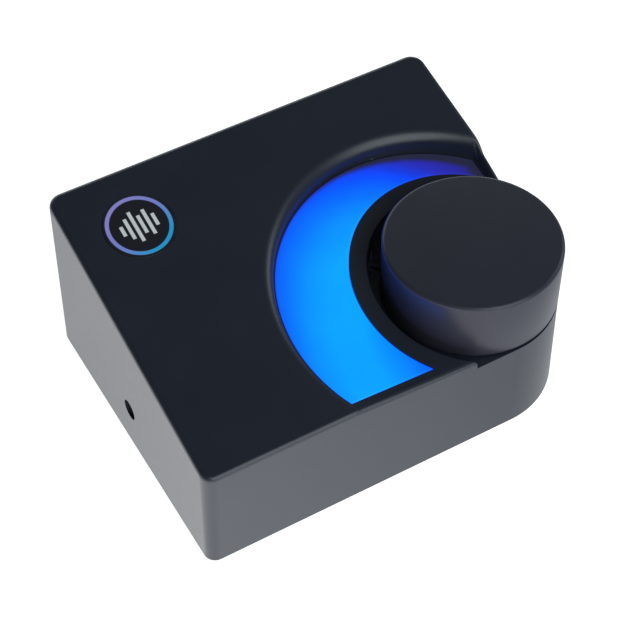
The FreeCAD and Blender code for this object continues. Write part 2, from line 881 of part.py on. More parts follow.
def make_base():
    """The plate that closes the case from below, its four screws and its four feet."""
    blank, _ = rounded_block("base_blank", "(wall + base_clearance)", "base_thickness",
                             "inner_round", False)
    taken = holes("base_hole", case_post_places(), "screw_hole_radius", "lift", "(base_top + past)")
    taken += holes("base_sink", case_post_places(), "screw_head_radius + head_clearance", "lift",
                   "head_seat")
    taken += holes("foot_seat", foot_places().values(), "foot_radius + foot_clearance", "lift",
                   "(lift + foot_recess)")
    sub_part("base_plate", cut("base", blank, *taken))
    screws = [screw(f"case_screw_{number}", (across, along, "head_seat"), "screw_radius",
                    "screw_length", "screw_head_radius", "screw_head_height")
              for number, (across, along) in enumerate(case_post_places())]
    sub_part("case_screws", group("case_screw_set", screws))
    for label, (across, along) in foot_places().items():
        foot, _ = turned(label, across, along, [
            ("0", "0"),
            ("foot_radius - foot_bevel", "0"),
            ("foot_radius", "foot_bevel"),
            ("foot_radius", "lift + foot_recess"),
            ("0", "lift + foot_recess"),
        ])
        sub_part(label, foot)


def make_knob():
    """The hollow volume knob with its hub, and the brass insert that grips the shaft."""
    knob, turn = turned("knob", "axis_x", "axis_y", [
        ("knob_radius", "knob_bottom"),
        ("knob_radius", "knob_top"),
        ("0", "knob_top"),
        ("0", "hub_top"),
        ("insert_radius", "hub_top"),
        ("insert_radius", "hub_bottom"),
        ("insert_radius + hub_wall", "hub_bottom"),
        ("insert_radius + hub_wall", "knob_top - knob_wall"),
        ("knob_radius - knob_wall", "knob_top - knob_wall"),
        ("knob_radius - knob_wall", "knob_bottom"),
    ])
    rim = [f"Edge{number}" for number, edge in enumerate(turn.Shape.Edges, start=1)
           if len(edge.Vertexes) == 1 and abs(edge.Vertexes[0].Z - value("knob_top")) < 0.01]
    round_edges(knob, "knob_top_edge", turn, rim, "knob_top_round")
    sub_part("volume_knob", knob)
    sleeve = cylinder("insert_blank", ("axis_x", "axis_y", "hub_bottom"), "insert_radius",
                      "insert_length")
    bore = d_bar("insert_bore", "shaft_clearance", "hub_bottom", "insert_length")
    sub_part("knob_insert", cut("insert", sleeve, bore))


def d_bar(name, grow, bottom, height):
    """The shaft's D section, grown by grow."""
    radius = f"(shaft_radius + {grow})"
    bar = cylinder(name + "_round", ("axis_x", "axis_y", bottom), radius, height)
    keep = box(name + "_keep", (f"axis_x - {radius}", f"axis_y - {radius}", bottom),
               (f"{radius} + shaft_flat + {grow}", f"2 * {radius}", height))
    return common(name, bar, keep)


def make_control_shaft():
    """The shaft with its D end and collar, and the wiper disc it turns."""
    stem_top = "(hub_bottom - knob_float)"
    stem = cylinder("shaft_stem", ("axis_x", "axis_y", "wiper_bottom - shaft_tip"), "shaft_radius",
                    f"{stem_top} - (wiper_bottom - shaft_tip)")
    end = d_bar("shaft_end", "0", stem_top, f"hub_top - shaft_end_gap - {stem_top}")
    collar = cylinder("shaft_collar",
                      ("axis_x", "axis_y", "plate_bottom - collar_gap - collar_thickness"),
                      "shaft_radius + collar_width", "collar_thickness")
    sub_part("control_shaft", fuse("shaft", stem, end, collar))
    wiper = ring("wiper", ("axis_x", "axis_y", "wiper_bottom"), "shaft_radius + wiper_width",
                 "shaft_radius", "wiper_thickness")
    sub_part("control_wiper", wiper)


def make_control_fixings():
    """The threaded bushing on its front plate, the washer and the nut on the well floor."""
    bushing, _ = turned("bushing", "axis_x", "axis_y", [
        ("shaft_radius + shaft_clearance", "plate_bottom"),
        ("control_radius", "plate_bottom"),
        ("control_radius", "floor_bottom"),
        ("bushing_radius", "floor_bottom"),
        ("bushing_radius", "floor_top + bushing_reach"),
        ("shaft_radius + shaft_clearance", "floor_top + bushing_reach"),
    ])
    sub_part("control_bushing", bushing)
    washer = ring("washer", ("axis_x", "axis_y", "floor_top"), "bushing_radius + washer_width",
                  "bushing_radius + bushing_clearance", "washer_thickness")
    sub_part("control_washer", washer)
    sub_part("control_nut", nut("nut", ("axis_x", "axis_y", "nut_bottom"), "nut_flats",
                                "bushing_radius + thread_clearance", "nut_height"))


def tab_block(name, bottom, top, margin):
    """The wafer's terminal tab towards the back, grown by margin to cut its way through the can."""
    return box(name, (f"axis_x - wafer_tab_width / 2 - ({margin})", "axis_y", bottom),
               (f"wafer_tab_width + 2 * ({margin})", f"control_radius + wafer_tab_reach + ({margin})",
                f"{top} - ({bottom})"))


def make_control_case():
    """The can of the rotary control, and the track wafer whose tab leaves it."""
    can, _ = turned("can", "axis_x", "axis_y", [
        ("0", "control_bottom"),
        ("control_radius", "control_bottom"),
        ("control_radius", "plate_bottom"),
        ("control_radius - control_skin", "plate_bottom"),
        ("control_radius - control_skin", "control_bottom + control_skin"),
        ("0", "control_bottom + control_skin"),
    ])
    window = tab_block("can_window", "wafer_bottom - control_clearance",
                       "(wafer_top + control_clearance)", "control_clearance")
    sub_part("control_can", cut("open_can", can, window))
    disc = cylinder("wafer_disc", ("axis_x", "axis_y", "wafer_bottom"),
                    "control_radius - control_skin - control_clearance", "wafer_thickness")
    hole = cylinder("wafer_hole", ("axis_x", "axis_y", "wafer_bottom"),
                    "shaft_radius + control_clearance", "wafer_thickness")
    tab = tab_block("wafer_tab", "wafer_bottom", "wafer_top", "0")
    sub_part("control_wafer", cut("wafer", fuse("wafer_blank", disc, tab), hole))


def pin_blocks(name, margin, bottom, top):
    """The three terminals behind the can, grown by margin."""
    middle = "(axis_y + control_radius + wafer_tab_reach / 2)"
    made = []
    for number in range(TERMINALS):
        shift = f"({number} - ({TERMINALS} - 1) / 2) * pin_pitch"
        made.append(box(f"{name}_{number}",
                        (f"axis_x + {shift} - pin_width / 2 - {margin}",
                         f"{middle} - pin_thickness / 2 - {margin}", bottom),
                        (f"pin_width + 2 * {margin}", f"pin_thickness + 2 * {margin}",
                         f"{top} - ({bottom})")))
    return made


def make_control_board():
    """The control's three terminals and the small board they are soldered to."""
    pins = pin_blocks("control_pin", "0", "control_board_bottom - pin_tail", "wafer_bottom")
    sub_part("control_terminals", group("control_pin_set", pins))
    blank = box("control_board_blank",
                ("control_board_right - control_board_width", "control_board_front",
                 "control_board_bottom"),
                ("control_board_width", "control_board_length", "board_thickness"))
    pin_holes = pin_blocks("pin_hole", "pin_hole_margin", "control_board_bottom", "control_bottom")
    sub_part("control_board", cut("small_board", blank, *pin_holes))
    upper = box("upper_strip", ("strip_left", "strip_front", "board_top + strip_height"),
                ("header_length", "strip_width", "control_board_bottom - board_top - strip_height"))
    sub_part("control_pin_strip", upper)
    lower = box("lower_strip", ("strip_left", "strip_front", "board_top"),
                ("header_length", "strip_width", "strip_height"))
    sub_part("control_socket_strip", lower)


def make_lens():
    """The glowing crescent: flush in its opening, with a flange under the platform."""
    body = crescent("lens_body", "-lens_gap", "-lens_gap", "-wall", "0")
    flange = crescent("lens_rim", "lens_flange", "-lens_gap", "lens_bottom", "-wall")
    sub_part("crescent_lens", fuse("lens", body, flange))


def make_light_box():
    """The white frame that keeps the light under the lens."""
    outer = crescent("light_box_outer", "lens_flange", "-lens_gap", "light_board_top", "lens_bottom")
    inner = crescent("light_box_inner", "lens_flange - light_box_wall",
                     "-lens_gap - light_box_wall", "light_board_top", "lens_bottom")
    sub_part("light_box", cut("light_frame", outer, inner))


def make_light_board():
    """The crescent-shaped light board with its three ears, its screws and its row of lights."""
    middle = crescent("light_board_middle", "lens_flange", "-lens_gap", "light_board_bottom",
                      "light_board_top")
    blank = fuse("light_board_blank", middle,
                 *ears("light_ear", "ear_radius", "light_board_bottom", "light_board_top"),
                 *ears("light_arm", "ear_radius", "light_board_bottom", "light_board_top",
                       "ear_reach / 2"))
    screw_holes = ears("light_ear_hole", "small_screw_hole_radius", "light_board_bottom",
                       "light_board_top")
    sub_part("light_board", cut("crescent_board", blank, *screw_holes))
    shanks = ears("light_screw_shank", "small_screw_radius", "light_board_bottom",
                  "light_board_bottom + small_screw_length")
    heads = ears("light_screw_head", "small_screw_head_radius",
                 "light_board_bottom - small_screw_head_height", "light_board_bottom")
    screws = [fuse(f"light_screw_{number}", shank, head)
              for number, (shank, head) in enumerate(zip(shanks, heads))]
    sub_part("light_board_screws", group("light_screw_set", screws))
    lights = []
    reach = "(lens_inner_radius + light_reach)"
    for number in range(LIGHTS):
        turn = f"(light_first_angle + {number} * light_turn_angle)"
        spot = (f"(axis_x + {reach} * cos{turn})", f"(axis_y + {reach} * sin{turn})")
        light = prism(f"light_{number}", over_platform(*spot, "light_board_top"), 4, "light_size",
                      "light_height")
        lights.append(lean_with_platform(light))
    sub_part("led_lights", group("light_set", lights))


def make_badge():
    """The round badge in its shallow seat."""
    sub_part("badge_disc", badge_disc("badge", "0", "-badge_thickness", "0"))


def make_main_board():
    """The main board under its four posts, with a hole for the case post that passes it."""
    blank = box("main_board_blank", ("board_left", "board_front", "board_bottom"),
                ("board_right - board_left", "board_back - board_front", "board_thickness"))
    passing = [case_post_places()[1]]
    taken = holes("post_way", passing, "post_radius + board_gap", "board_bottom", "(board_top + past)")
    taken += holes("board_screw_way", board_post_places(), "small_screw_hole_radius",
                   "board_bottom", "(board_top + past)")
    sub_part("main_board", cut("big_board", blank, *taken))
    screws = [screw(f"board_screw_{number}", (across, along, "board_bottom"), "small_screw_radius",
                    "small_screw_length", "small_screw_head_radius", "small_screw_head_height")
              for number, (across, along) in enumerate(board_post_places())]
    sub_part("main_board_screws", group("board_screw_set", screws))


def contact_block(name, across, number, margin, rise):
    """One contact blade beside the bore of an output socket, grown by margin."""
    side = "+" if number % 2 == 0 else "-"
    near = "(output_bore_radius + contact_gap)"
    if side == "-":
        near = "(output_bore_radius + contact_gap + contact_thickness)"
    back = f"(panel_inside - {number + 1} * contact_pitch)"
    return box(name, (f"{across} {side} {near} - {margin}", f"{back} - {margin}", "board_top"),
               (f"contact_thickness + 2 * {margin}", f"contact_width + 2 * {margin}",
                f"output_z - board_top + contact_rise + {rise}"))


def make_output_socket(label, across):
    """A 6.35 mm socket: housing with nose and bore, three contacts, washer and nut."""
    body = box(label + "_body", (f"{across} - output_width / 2", "output_end", "board_top"),
               ("output_width", "output_depth", "output_height"))
    nose = cylinder(label + "_nose", (across, "panel_inside", "output_z"), "output_nose_radius",
                    "output_nose_reach", BACK)
    bore = cylinder(label + "_bore", (across, "output_end + output_end_wall", "output_z"),
                    "output_bore_radius", "output_depth + output_nose_reach", BACK)
    slots = [contact_block(f"{label}_slot_{number}", across, number, "contact_slot_margin",
                           "contact_slot_margin") for number in range(OUTPUT_CONTACTS)]
    sub_part(label, cut(label + "_housing", fuse(label + "_blank", body, nose), bore, *slots))
    blades = [contact_block(f"{label}_blade_{number}", across, number, "0", "0")
              for number in range(OUTPUT_CONTACTS)]
    sub_part(label + "_contacts", group(label + "_blades", blades))
    washer = ring(label + "_ring", (across, "panel_face", "output_z"),
                  "output_nose_radius + output_washer_width",
                  "output_nose_radius + output_hole_clearance", "output_washer_thickness", BACK)
    sub_part(label + "_washer", washer)
    seat = (across, "panel_face + output_washer_thickness", "output_z")
    sub_part(label + "_nut", nut(label + "_hexagon", seat, "output_nut_flats",
                                 "output_nose_radius + thread_clearance", "output_nut_height", BACK))


def make_input_socket():
    """The 3.5 mm socket on the board's left edge, its nose inside the hole in the wall."""
    body = box("input_body", ("board_left", "input_y - input_width / 2", "board_top"),
               ("input_depth", "input_width", "input_height"))
    nose = cylinder("input_nose", ("board_left", "input_y", "input_z"), "input_nose_radius",
                    "input_nose_reach", LEFT)
    bore = cylinder("input_bore", ("board_left + input_depth - input_end_wall", "input_y", "input_z"),
                    "input_bore_radius", "input_depth + input_nose_reach", LEFT)
    sub_part("input_socket", cut("input_housing", fuse("input_blank", body, nose), bore))
    feet = []
    for row in range(2):
        for side in (-1, 1):
            middle = f"input_y + {side} * (input_width + input_foot_reach) / 2"
            feet.append(box(f"input_foot_{row}_{side + 1}",
                            (f"board_left + input_depth / 2 + ({row} - 0.5) * input_foot_pitch"
                             " - input_foot_size / 2",
                             f"{middle} - input_foot_reach / 2", "board_top"),
                            ("input_foot_size", "input_foot_reach", "input_foot_size")))
    sub_part("input_socket_contacts", group("input_foot_set", feet))


def make_power_socket():
    """The power socket: a metal shell open to the back, and the tongue inside it."""
    centre = ("power_x", "power_z")
    outer = oval_bar("power_outer", centre, "power_mouth", "power_width", "power_height",
                     "power_depth")
    inner = oval_bar("power_inner", centre, "(power_mouth + past)", "power_width - 2 * power_skin",
                     "power_height - 2 * power_skin", "power_depth - power_skin + past")
    sub_part("power_socket", cut("power_shell", outer, inner))
    back = "(power_mouth - power_depth + power_skin)"
    sub_part("power_socket_tongue", box(
        "power_tongue",
        ("power_x - tongue_width / 2", back, "power_z - tongue_thickness / 2"),
        ("tongue_width", f"power_mouth - tongue_setback - {back}", "tongue_thickness")))


def make_pairing_button():
    """The pairing button in the back panel, and the switch that it pushes."""
    cap = cylinder("button_cap", ("button_x", "button_back", "button_z"), "button_radius",
                   "panel_face + button_stand_out - button_back", BACK)
    flange = cylinder("button_flange_disc", ("button_x", "button_back", "button_z"),
                      "button_radius + button_flange", "button_flange_thickness", BACK)
    sub_part("pairing_button", fuse("button", cap, flange))
    body = box("switch_body", ("button_x - switch_size / 2", "switch_face - switch_depth",
                               "board_top"),
               ("switch_size", "switch_depth", "button_height + switch_size / 2"))
    bore = cylinder("switch_bore", ("button_x", "switch_face - plunger_bore_depth", "button_z"),
                    "plunger_radius + plunger_clearance", "plunger_bore_depth", BACK)
    sub_part("pairing_switch", cut("switch", body, bore))
    sub_part("pairing_switch_plunger", cylinder(
        "plunger", ("button_x", "switch_face - plunger_depth", "button_z"), "plunger_radius",
        "plunger_depth + plunger_reach", BACK))


def make_wireless_module():
    """The wireless module on the main board, its chip, and the metal can over it."""
    sub_part("wireless_module", box("module_board", ("module_left", "module_front", "board_top"),
                                    ("module_width", "module_length", "module_thickness")))
    outer = box("shield_outer", ("shield_left", "shield_front", "module_top"),
                ("shield_width", "shield_length", "shield_height"))
    inner = box("shield_inner", ("shield_left + shield_skin", "shield_front + shield_skin",
                                 "module_top"),
                ("shield_width - 2 * shield_skin", "shield_length - 2 * shield_skin",
                 "shield_height - shield_skin"))
    sub_part("wireless_shield", cut("shield", outer, inner))
    sub_part("wireless_chip", box(
        "radio_chip",
        ("module_left + (module_width - radio_chip_size) / 2",
         "module_front + (module_length - radio_chip_size) / 2", "module_top"),
        ("radio_chip_size", "radio_chip_size", "radio_chip_height")))


def make_board_parts():
    """The capacitors and chips on the main board."""
    capacitors = [cylinder(f"capacitor_{number}",
                           (f"capacitor_x - {number} * capacitor_pitch",
                            "capacitor_y", "board_top"),
                           "capacitor_radius", "capacitor_height")
                  for number in range(CAPACITORS)]
    sub_part("capacitors", group("capacitor_set", capacitors))
    chips = [box(f"chip_{number}", (f"axis_x - chip_from_axis + {number} * chip_pitch",
                                    "board_front + chip_from_front", "board_top"),
                 ("chip_size", "chip_size", "chip_height")) for number in range(CHIPS)]
    sub_part("audio_chips", group("chip_set", chips))


def upright_block(name, length, width):
    """A tall block about the light cable's place."""
    return box(name, (f"light_cable_x - {length} / 2", f"light_cable_y - {width} / 2", "board_top"),
               (length, width, "far"))


def make_light_cable():
    """The flat cable from the main board up to the light board, with a connector at each end."""
    sub_part("light_cable_lower_connector", box(
        "lower_connector",
        ("light_cable_x - header_length / 2", "light_cable_y - header_width / 2", "board_top"),
        ("header_length", "header_width", "header_height")))
    seat = platform_disc("upper_connector_level", "0", "light_board_bottom - header_height",
                         "light_board_bottom")
    sub_part("light_cable_upper_connector", common(
        "upper_connector", seat, upright_block("upper_connector_block", "header_length",
                                               "header_width")))
    below = platform_disc("cable_level", "0", "-far", "light_board_bottom - header_height")
    strip = common("cable_strip", below,
                   upright_block("cable_block", "cable_width", "cable_thickness"))
    lower = box("cable_foot", ("left_wall", "front_wall", "0"),
                ("case_width", "case_depth", "board_top + header_height"))
    sub_part("light_cable", cut("flat_cable", strip, lower))


def check_and_write():
    """Checks every object, then writes one file for each finished piece."""
    doc.recompute()
    for thing in doc.Objects:
        if "Invalid" in thing.State or "Error" in thing.State:
            raise RuntimeError(f"{thing.Label} can't be built: {thing.State}")
    for piece in sub_parts:
        if piece.Shape.isNull() or not piece.Shape.isValid() or not piece.Shape.Solids:
            raise RuntimeError(f"{piece.Label} has no sound shape")
    os.makedirs("parts", exist_ok=True)
    for piece in sub_parts:
        piece.Shape.exportStep(f"parts/{piece.Label}.step")


fill_sheet()
make_upper_shell()
make_base()
make_badge()
make_lens()
make_light_box()
make_light_board()
make_knob()
make_control_shaft()
make_control_fixings()
make_control_case()
make_control_board()
make_main_board()
make_output_socket("left_output_socket", output_places()[0])
make_output_socket("right_output_socket", output_places()[1])
make_input_socket()
make_power_socket()
make_pairing_button()
make_wireless_module()
make_board_parts()
make_light_cable()
check_and_write()
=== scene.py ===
import json
import math

import bmesh
import bpy
from mathutils import Matrix, Vector


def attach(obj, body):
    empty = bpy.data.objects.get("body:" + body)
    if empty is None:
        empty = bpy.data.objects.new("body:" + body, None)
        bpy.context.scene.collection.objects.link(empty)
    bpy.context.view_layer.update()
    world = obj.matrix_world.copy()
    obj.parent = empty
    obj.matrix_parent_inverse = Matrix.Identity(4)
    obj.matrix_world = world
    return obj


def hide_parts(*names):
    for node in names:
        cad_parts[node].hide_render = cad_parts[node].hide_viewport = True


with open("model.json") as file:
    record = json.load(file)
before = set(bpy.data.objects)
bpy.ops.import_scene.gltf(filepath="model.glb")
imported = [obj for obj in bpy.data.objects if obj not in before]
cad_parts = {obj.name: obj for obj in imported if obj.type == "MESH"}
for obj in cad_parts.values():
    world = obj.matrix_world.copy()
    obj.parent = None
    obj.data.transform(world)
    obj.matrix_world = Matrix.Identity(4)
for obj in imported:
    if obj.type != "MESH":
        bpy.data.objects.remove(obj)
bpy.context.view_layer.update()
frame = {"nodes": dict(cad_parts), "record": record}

# Sizes in millimetres, the same as the case's own. +X is right, -Y is the front, +Z is up.
MM = 0.001
CASE_WIDTH = 120.0
CASE_DEPTH = 93.3
FRONT_HEIGHT = 35.7
BACK_HEIGHT = 55.95
LIFT = 1.2
DRAFT = math.tan(math.radians(1.05))
FRONT_DRAFT = math.tan(math.radians(0.3))
CORNER_RADIUS = 25.0
SMALL_RADIUS = 4.2
FRONT_LEFT_RADIUS = 3.3
SLOPE = (BACK_HEIGHT - FRONT_HEIGHT) / CASE_DEPTH
KNOB_X = CASE_WIDTH / 2 - CORNER_RADIUS
KNOB_Y = -CASE_DEPTH / 2 + CORNER_RADIUS

# The sunk platform round the knob: its depth under the main top at the round wall's axis, and how it
# rises to the back and drops to the right. The well for the knob and the lens lie in it.
PLATFORM_DEPTH = 3.12
PLATFORM_SLOPE = 0.177
TILT = 0.051
WELL_RADIUS = 28.3
LENS_INNER_RADIUS = 33.1
ARC_RADIUS = 45.9
ARC_X = KNOB_X - 9.2
ARC_Y = KNOB_Y - 1.3
LENS_FRONT = -43.35
LENS_RIGHT = 56.7
PLATFORM_NORMAL = Vector((TILT, -PLATFORM_SLOPE, 1.0)).normalized()

# The moulded top's skin: how far the dressed top lies under the plain one, its round outer edge,
# and the foot and the flare of the round wall.
SKIN_DROP = 0.03
EDGE_ROUND = 1.56
WALL_FOOT = ARC_RADIUS + 0.34
WALL_FLARE = math.tan(math.radians(14))

# Faces whose normal's Y part is over this belong to the upright rear panel, not to the leaning wall.
PANEL_UPRIGHT = 0.9999

# The radius of the walls' round top edge.
BROW_RADIUS = 3.4

# How steep the straight right side of the sunk space is, beside the round wall.
SIDE_SHARE = 0.3

# The strip right of the lens, whose top is a ramp from the main top down to the platform.
RAMP_LEFT = LENS_RIGHT + 0.3
RAMP_BACK = KNOB_Y + 32.0
RAMP_FRONT = KNOB_Y + 12.9
RAMP_SOFTNESS = 1.0

# The hollow knob, its hub and the brass insert's hole in it.
KNOB_RADIUS = 24.5
KNOB_BOTTOM = 32.75
KNOB_TOP = 51.9
KNOB_WALL = 2.6
KNOB_ROUND = 1.2
HUB_RADIUS = 6.45
HUB_BOTTOM = 37.85
INSERT_RADIUS = 4.25
INSERT_TOP = 45.85

# The round badge on the main top.
BADGE_X = -40.0
BADGE_Y = 26.85
BADGE_RADIUS = 10.0

# The camera, from the front left corner of the case.
CAMERA_AZIMUTH = -29.3164
CAMERA_ELEVATION = 49.4653
CAMERA_ROLL = -0.614188
CAMERA_PLACE = (26.2087, 66.8296, 467.877)
CAMERA_LENS = 1780.62 * 36 / 620


# ---------------------------------------------------------------- meshes

def finish_mesh(name, mesh_data, material, body, smooth_angle=30):
    """A piece from a finished bmesh: smooth where faces meet gently, and riding on its body."""
    bmesh.ops.recalc_face_normals(mesh_data, faces=mesh_data.faces)
    mesh = bpy.data.meshes.new(name)
    mesh_data.to_mesh(mesh)
    mesh_data.free()
    piece = bpy.data.objects.new(name, mesh)
    bpy.context.scene.collection.objects.link(piece)
    dress(piece, material, smooth_angle)
    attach(piece, body)
    return piece


def dress(piece, material, smooth_angle=30):
    """Gives the piece its material, and smooth shading up to the angle."""
    piece.data.materials.clear()
    piece.data.materials.append(material)
    piece.data.shade_smooth()
    piece.data.set_sharp_from_angle(angle=math.radians(smooth_angle))


def main_top(along):
    """The height of the main top at a place along Y."""
    return LIFT + FRONT_HEIGHT + SLOPE * (along + CASE_DEPTH / 2)


def platform_top(across, along):
    """The height of the sunk platform's plane."""
    centre = main_top(ARC_Y) - PLATFORM_DEPTH
    return centre + PLATFORM_SLOPE * (along - ARC_Y) - TILT * (across - ARC_X)


ARC_CENTRE = Vector((ARC_X, ARC_Y, platform_top(ARC_X, ARC_Y)))


def wall_run(across, along):
    """How far a place lies outside the round wall's foot, and how steeply the wall rises there."""
    base = platform_top(across, along)

    def excess(height):
        offset = Vector((across, along, base + height)) - ARC_CENTRE
        level = offset.dot(PLATFORM_NORMAL)
        return (offset - PLATFORM_NORMAL * level).length - WALL_FOOT - level * WALL_FLARE

    return excess(0.0), 1 / (excess(0.0) - excess(1.0))


def bank_run(across, along):
    """How far outside the sunk space a place lies, past its round wall or its straight right side."""
    run, steepness = wall_run(across, along)
    beside = (across - RAMP_LEFT) * SIDE_SHARE
    if run > 0 and beside > 0:
        run = math.hypot(run, beside)
    return max(run, beside), steepness


def ramp_top(along):
    """The height of the ramp's line at a place along Y."""
    low = platform_top(CASE_WIDTH / 2, RAMP_FRONT)
    rise = (main_top(RAMP_BACK) - low) / (RAMP_BACK - RAMP_FRONT)
    return low + rise * (along - RAMP_FRONT)


def soft_lower(first, second, width):
    """The lower of two numbers, with a smooth change-over of that width."""
    near = max(width - abs(first - second), 0.0)
    return min(first, second) - near * near / (4 * width)


def bank_limit(across, along):
    """How far over the platform the walls may reach: up to the main top, or to the ramp."""
    limit = main_top(along)
    share = (across - RAMP_LEFT + 3) / 3
    if share > 0:
        limit = soft_lower(limit, ramp_top(along), RAMP_SOFTNESS * min(share, 1.0))
    return limit - platform_top(across, along)


def brow_reach(limit, steepness):
    """How far outside their foot the walls' round top edge meets the main top."""
    stretch = math.hypot(1, steepness)
    if BROW_RADIUS * (1 - 1 / stretch) > limit:
        return math.sqrt(max(BROW_RADIUS ** 2 - (BROW_RADIUS - limit) ** 2, 0.0))
    return (limit + BROW_RADIUS * (stretch - 1)) / steepness


def bank_rise(run, limit, steepness):
    """How far the walls stand over the platform that far outside their foot."""
    short = max(brow_reach(limit, steepness) - run, 0.0)
    if short > BROW_RADIUS * steepness / math.hypot(1, steepness):
        return steepness * run
    return limit - BROW_RADIUS + math.sqrt(BROW_RADIUS ** 2 - short ** 2)


def bare_top(across, along):
    """The height of the moulded top: platform, walls with round top edges, ramp and main top."""
    base = platform_top(across, along)
    if main_top(along) <= base:
        return main_top(along)
    run, steepness = bank_run(across, along)
    limit = bank_limit(across, along)
    if run <= 0 or limit <= 0:
        return base
    return base + bank_rise(run, limit, steepness)


def bank_span(start, inward):
    """How far inward from the start the walls' round top edge begins, and where their foot lies."""
    if bank_run(start.x, start.y)[0] <= 0:
        return None
    step = 0.2
    edge = depth = 0.0
    place = start
    run, steepness = bank_run(place.x, place.y)
    while run > 0:
        limit = max(bank_limit(place.x, place.y), 0.0)
        if run > brow_reach(limit, steepness):
            edge = depth
        depth += step
        place = start + inward * depth
        run, steepness = bank_run(place.x, place.y)
    outside, inside = depth - step, depth
    for _ in range(8):
        middle = (outside + inside) / 2
        place = start + inward * middle
        if bank_run(place.x, place.y)[0] > 0:
            outside = middle
        else:
            inside = middle
    return min(edge, outside), inside


def walk_outline(step, corner_step):
    """Places along the case's foot outline, with the way outwards and the walls' lean at each."""
    right, left = CASE_WIDTH / 2, -CASE_WIDTH / 2
    back, front = CASE_DEPTH / 2, -CASE_DEPTH / 2
    corners = [
        (right, front, CORNER_RADIUS, -90),
        (right, back, SMALL_RADIUS, 0),
        (left, back, SMALL_RADIUS, 90),
        (left, front, FRONT_LEFT_RADIUS, 180),
    ]
    arcs = []
    for corner_x, corner_y, radius, start in corners:
        middle_x = corner_x - math.copysign(radius, corner_x)
        middle_y = corner_y - math.copysign(radius, corner_y)
        count = max(round(radius * math.pi / 2 / corner_step), 6)
        lean = Vector((-math.copysign(DRAFT, corner_x), FRONT_DRAFT if corner_y < 0 else -DRAFT))
        arc = []
        for number in range(count + 1):
            turn = math.radians(start + 90 * number / count)
            way = Vector((math.cos(turn), math.sin(turn)))
            arc.append((Vector((middle_x, middle_y)) + way * radius, way, lean))
        arcs.append(arc)
    path = []
    for number, arc in enumerate(arcs):
        path += arc
        start, way, lean = arc[-1]
        end = arcs[(number + 1) % len(arcs)][0][0]
        straight_lean = way * lean.dot(way)
        count = round((end - start).length / step)
        path += [(start.lerp(end, part / count), way, straight_lean)
                 for part in range(2, count - 1)]
    return path


def rounded_edge(way, steps):
    """Depths inside the outline, and drops under the top, of a round edge on the side that way."""
    rise = -way.y * SLOPE
    stretch = math.sqrt(1 + rise * rise)
    end_turn = math.acos(rise / stretch)
    edge = []
    for number in range(steps + 1):
        turn = end_turn * number / steps
        depth = EDGE_ROUND * (1 - math.cos(turn))
        level = EDGE_ROUND * (rise - stretch + math.sin(turn))
        edge.append((depth, rise * depth - level))
    return edge


def top_column(outline, way, lean):
    """Points of the dressed top from outside the outline to inside the platform."""
    edge = rounded_edge(way, 9)
    first_drop = edge[0][1]
    plan = [(-3.0, first_drop), (-0.04, first_drop)] + edge + [(edge[-1][0] + 0.03, 0.0)]
    column = []
    for depth, drop in plan:
        inside = outline - way * max(depth, 0.0)
        wall_top = bare_top(inside.x, inside.y) - LIFT - EDGE_ROUND
        place = outline - way * depth + lean * wall_top
        inside = outline - way * max(depth, 0.0) + lean * wall_top
        column.append((place.x, place.y, bare_top(inside.x, inside.y) - drop))
    start = Vector(column[-1][:2])
    inward = (Vector((ARC_X, ARC_Y)) - start).normalized()
    edge, foot = bank_span(start, inward) or (0.3, 0.9)
    parts = [1 - (1 - number / 19) ** 1.8 for number in range(20)]
    depths = [edge + (foot - edge) * part for part in parts] + [foot + 0.15, foot + 0.5]
    for depth in depths:
        place = start + inward * max(depth, 0.02)
        column.append((place.x, place.y, bare_top(place.x, place.y)))
    return [(x, y, z - SKIN_DROP) for x, y, z in column]


def top_cutter():
    """A closed block whose underside is the dressed top of the case."""
    columns = [top_column(*stop) for stop in walk_outline(1.0, 0.8)]
    block = bmesh.new()
    count = len(columns)
    loop = bmesh.ops.create_circle(block, segments=count, radius=1)["verts"]
    for row in range(len(columns[0])):
        if row:
            edges = [edge for edge in block.edges
                     if edge.verts[0] in set(loop) and edge.verts[1] in set(loop)]
            made = bmesh.ops.extrude_edge_only(block, edges=edges)["geom"]
            fresh = {vert for vert in made if isinstance(vert, bmesh.types.BMVert)}
            after = []
            for vert in loop:
                after += [edge.other_vert(vert) for edge in vert.link_edges
                          if edge.other_vert(vert) in fresh]
            loop = after
        for vert, column in zip(loop, columns):
            vert.co = Vector(column[row]) * MM
    bmesh.ops.contextual_create(block, geom=loop)
    rim = [edge for edge in block.edges if edge.is_boundary]
    raised = bmesh.ops.extrude_edge_only(block, edges=rim)["geom"]
    upper = [vert for vert in raised if isinstance(vert, bmesh.types.BMVert)]
    for vert in upper:
        vert.co.z = 0.08
    bmesh.ops.contextual_create(block, geom=[edge for edge in block.edges if edge.is_boundary])
    bmesh.ops.recalc_face_normals(block, faces=block.faces)
    return block


def loose_object(name, mesh_data):
    """A working object from a bmesh, to be taken away again."""
    mesh = bpy.data.meshes.new(name)
    mesh_data.to_mesh(mesh)
    mesh_data.free()
    thing = bpy.data.objects.new(name, mesh)
    bpy.context.scene.collection.objects.link(thing)
    return thing


def merged_copy(node):
    """A bmesh of a plain node with its loose triangles joined."""
    copy = bmesh.new()
    copy.from_mesh(frame["nodes"][node].data)
    bmesh.ops.remove_doubles(copy, verts=copy.verts, dist=1e-7)
    return copy


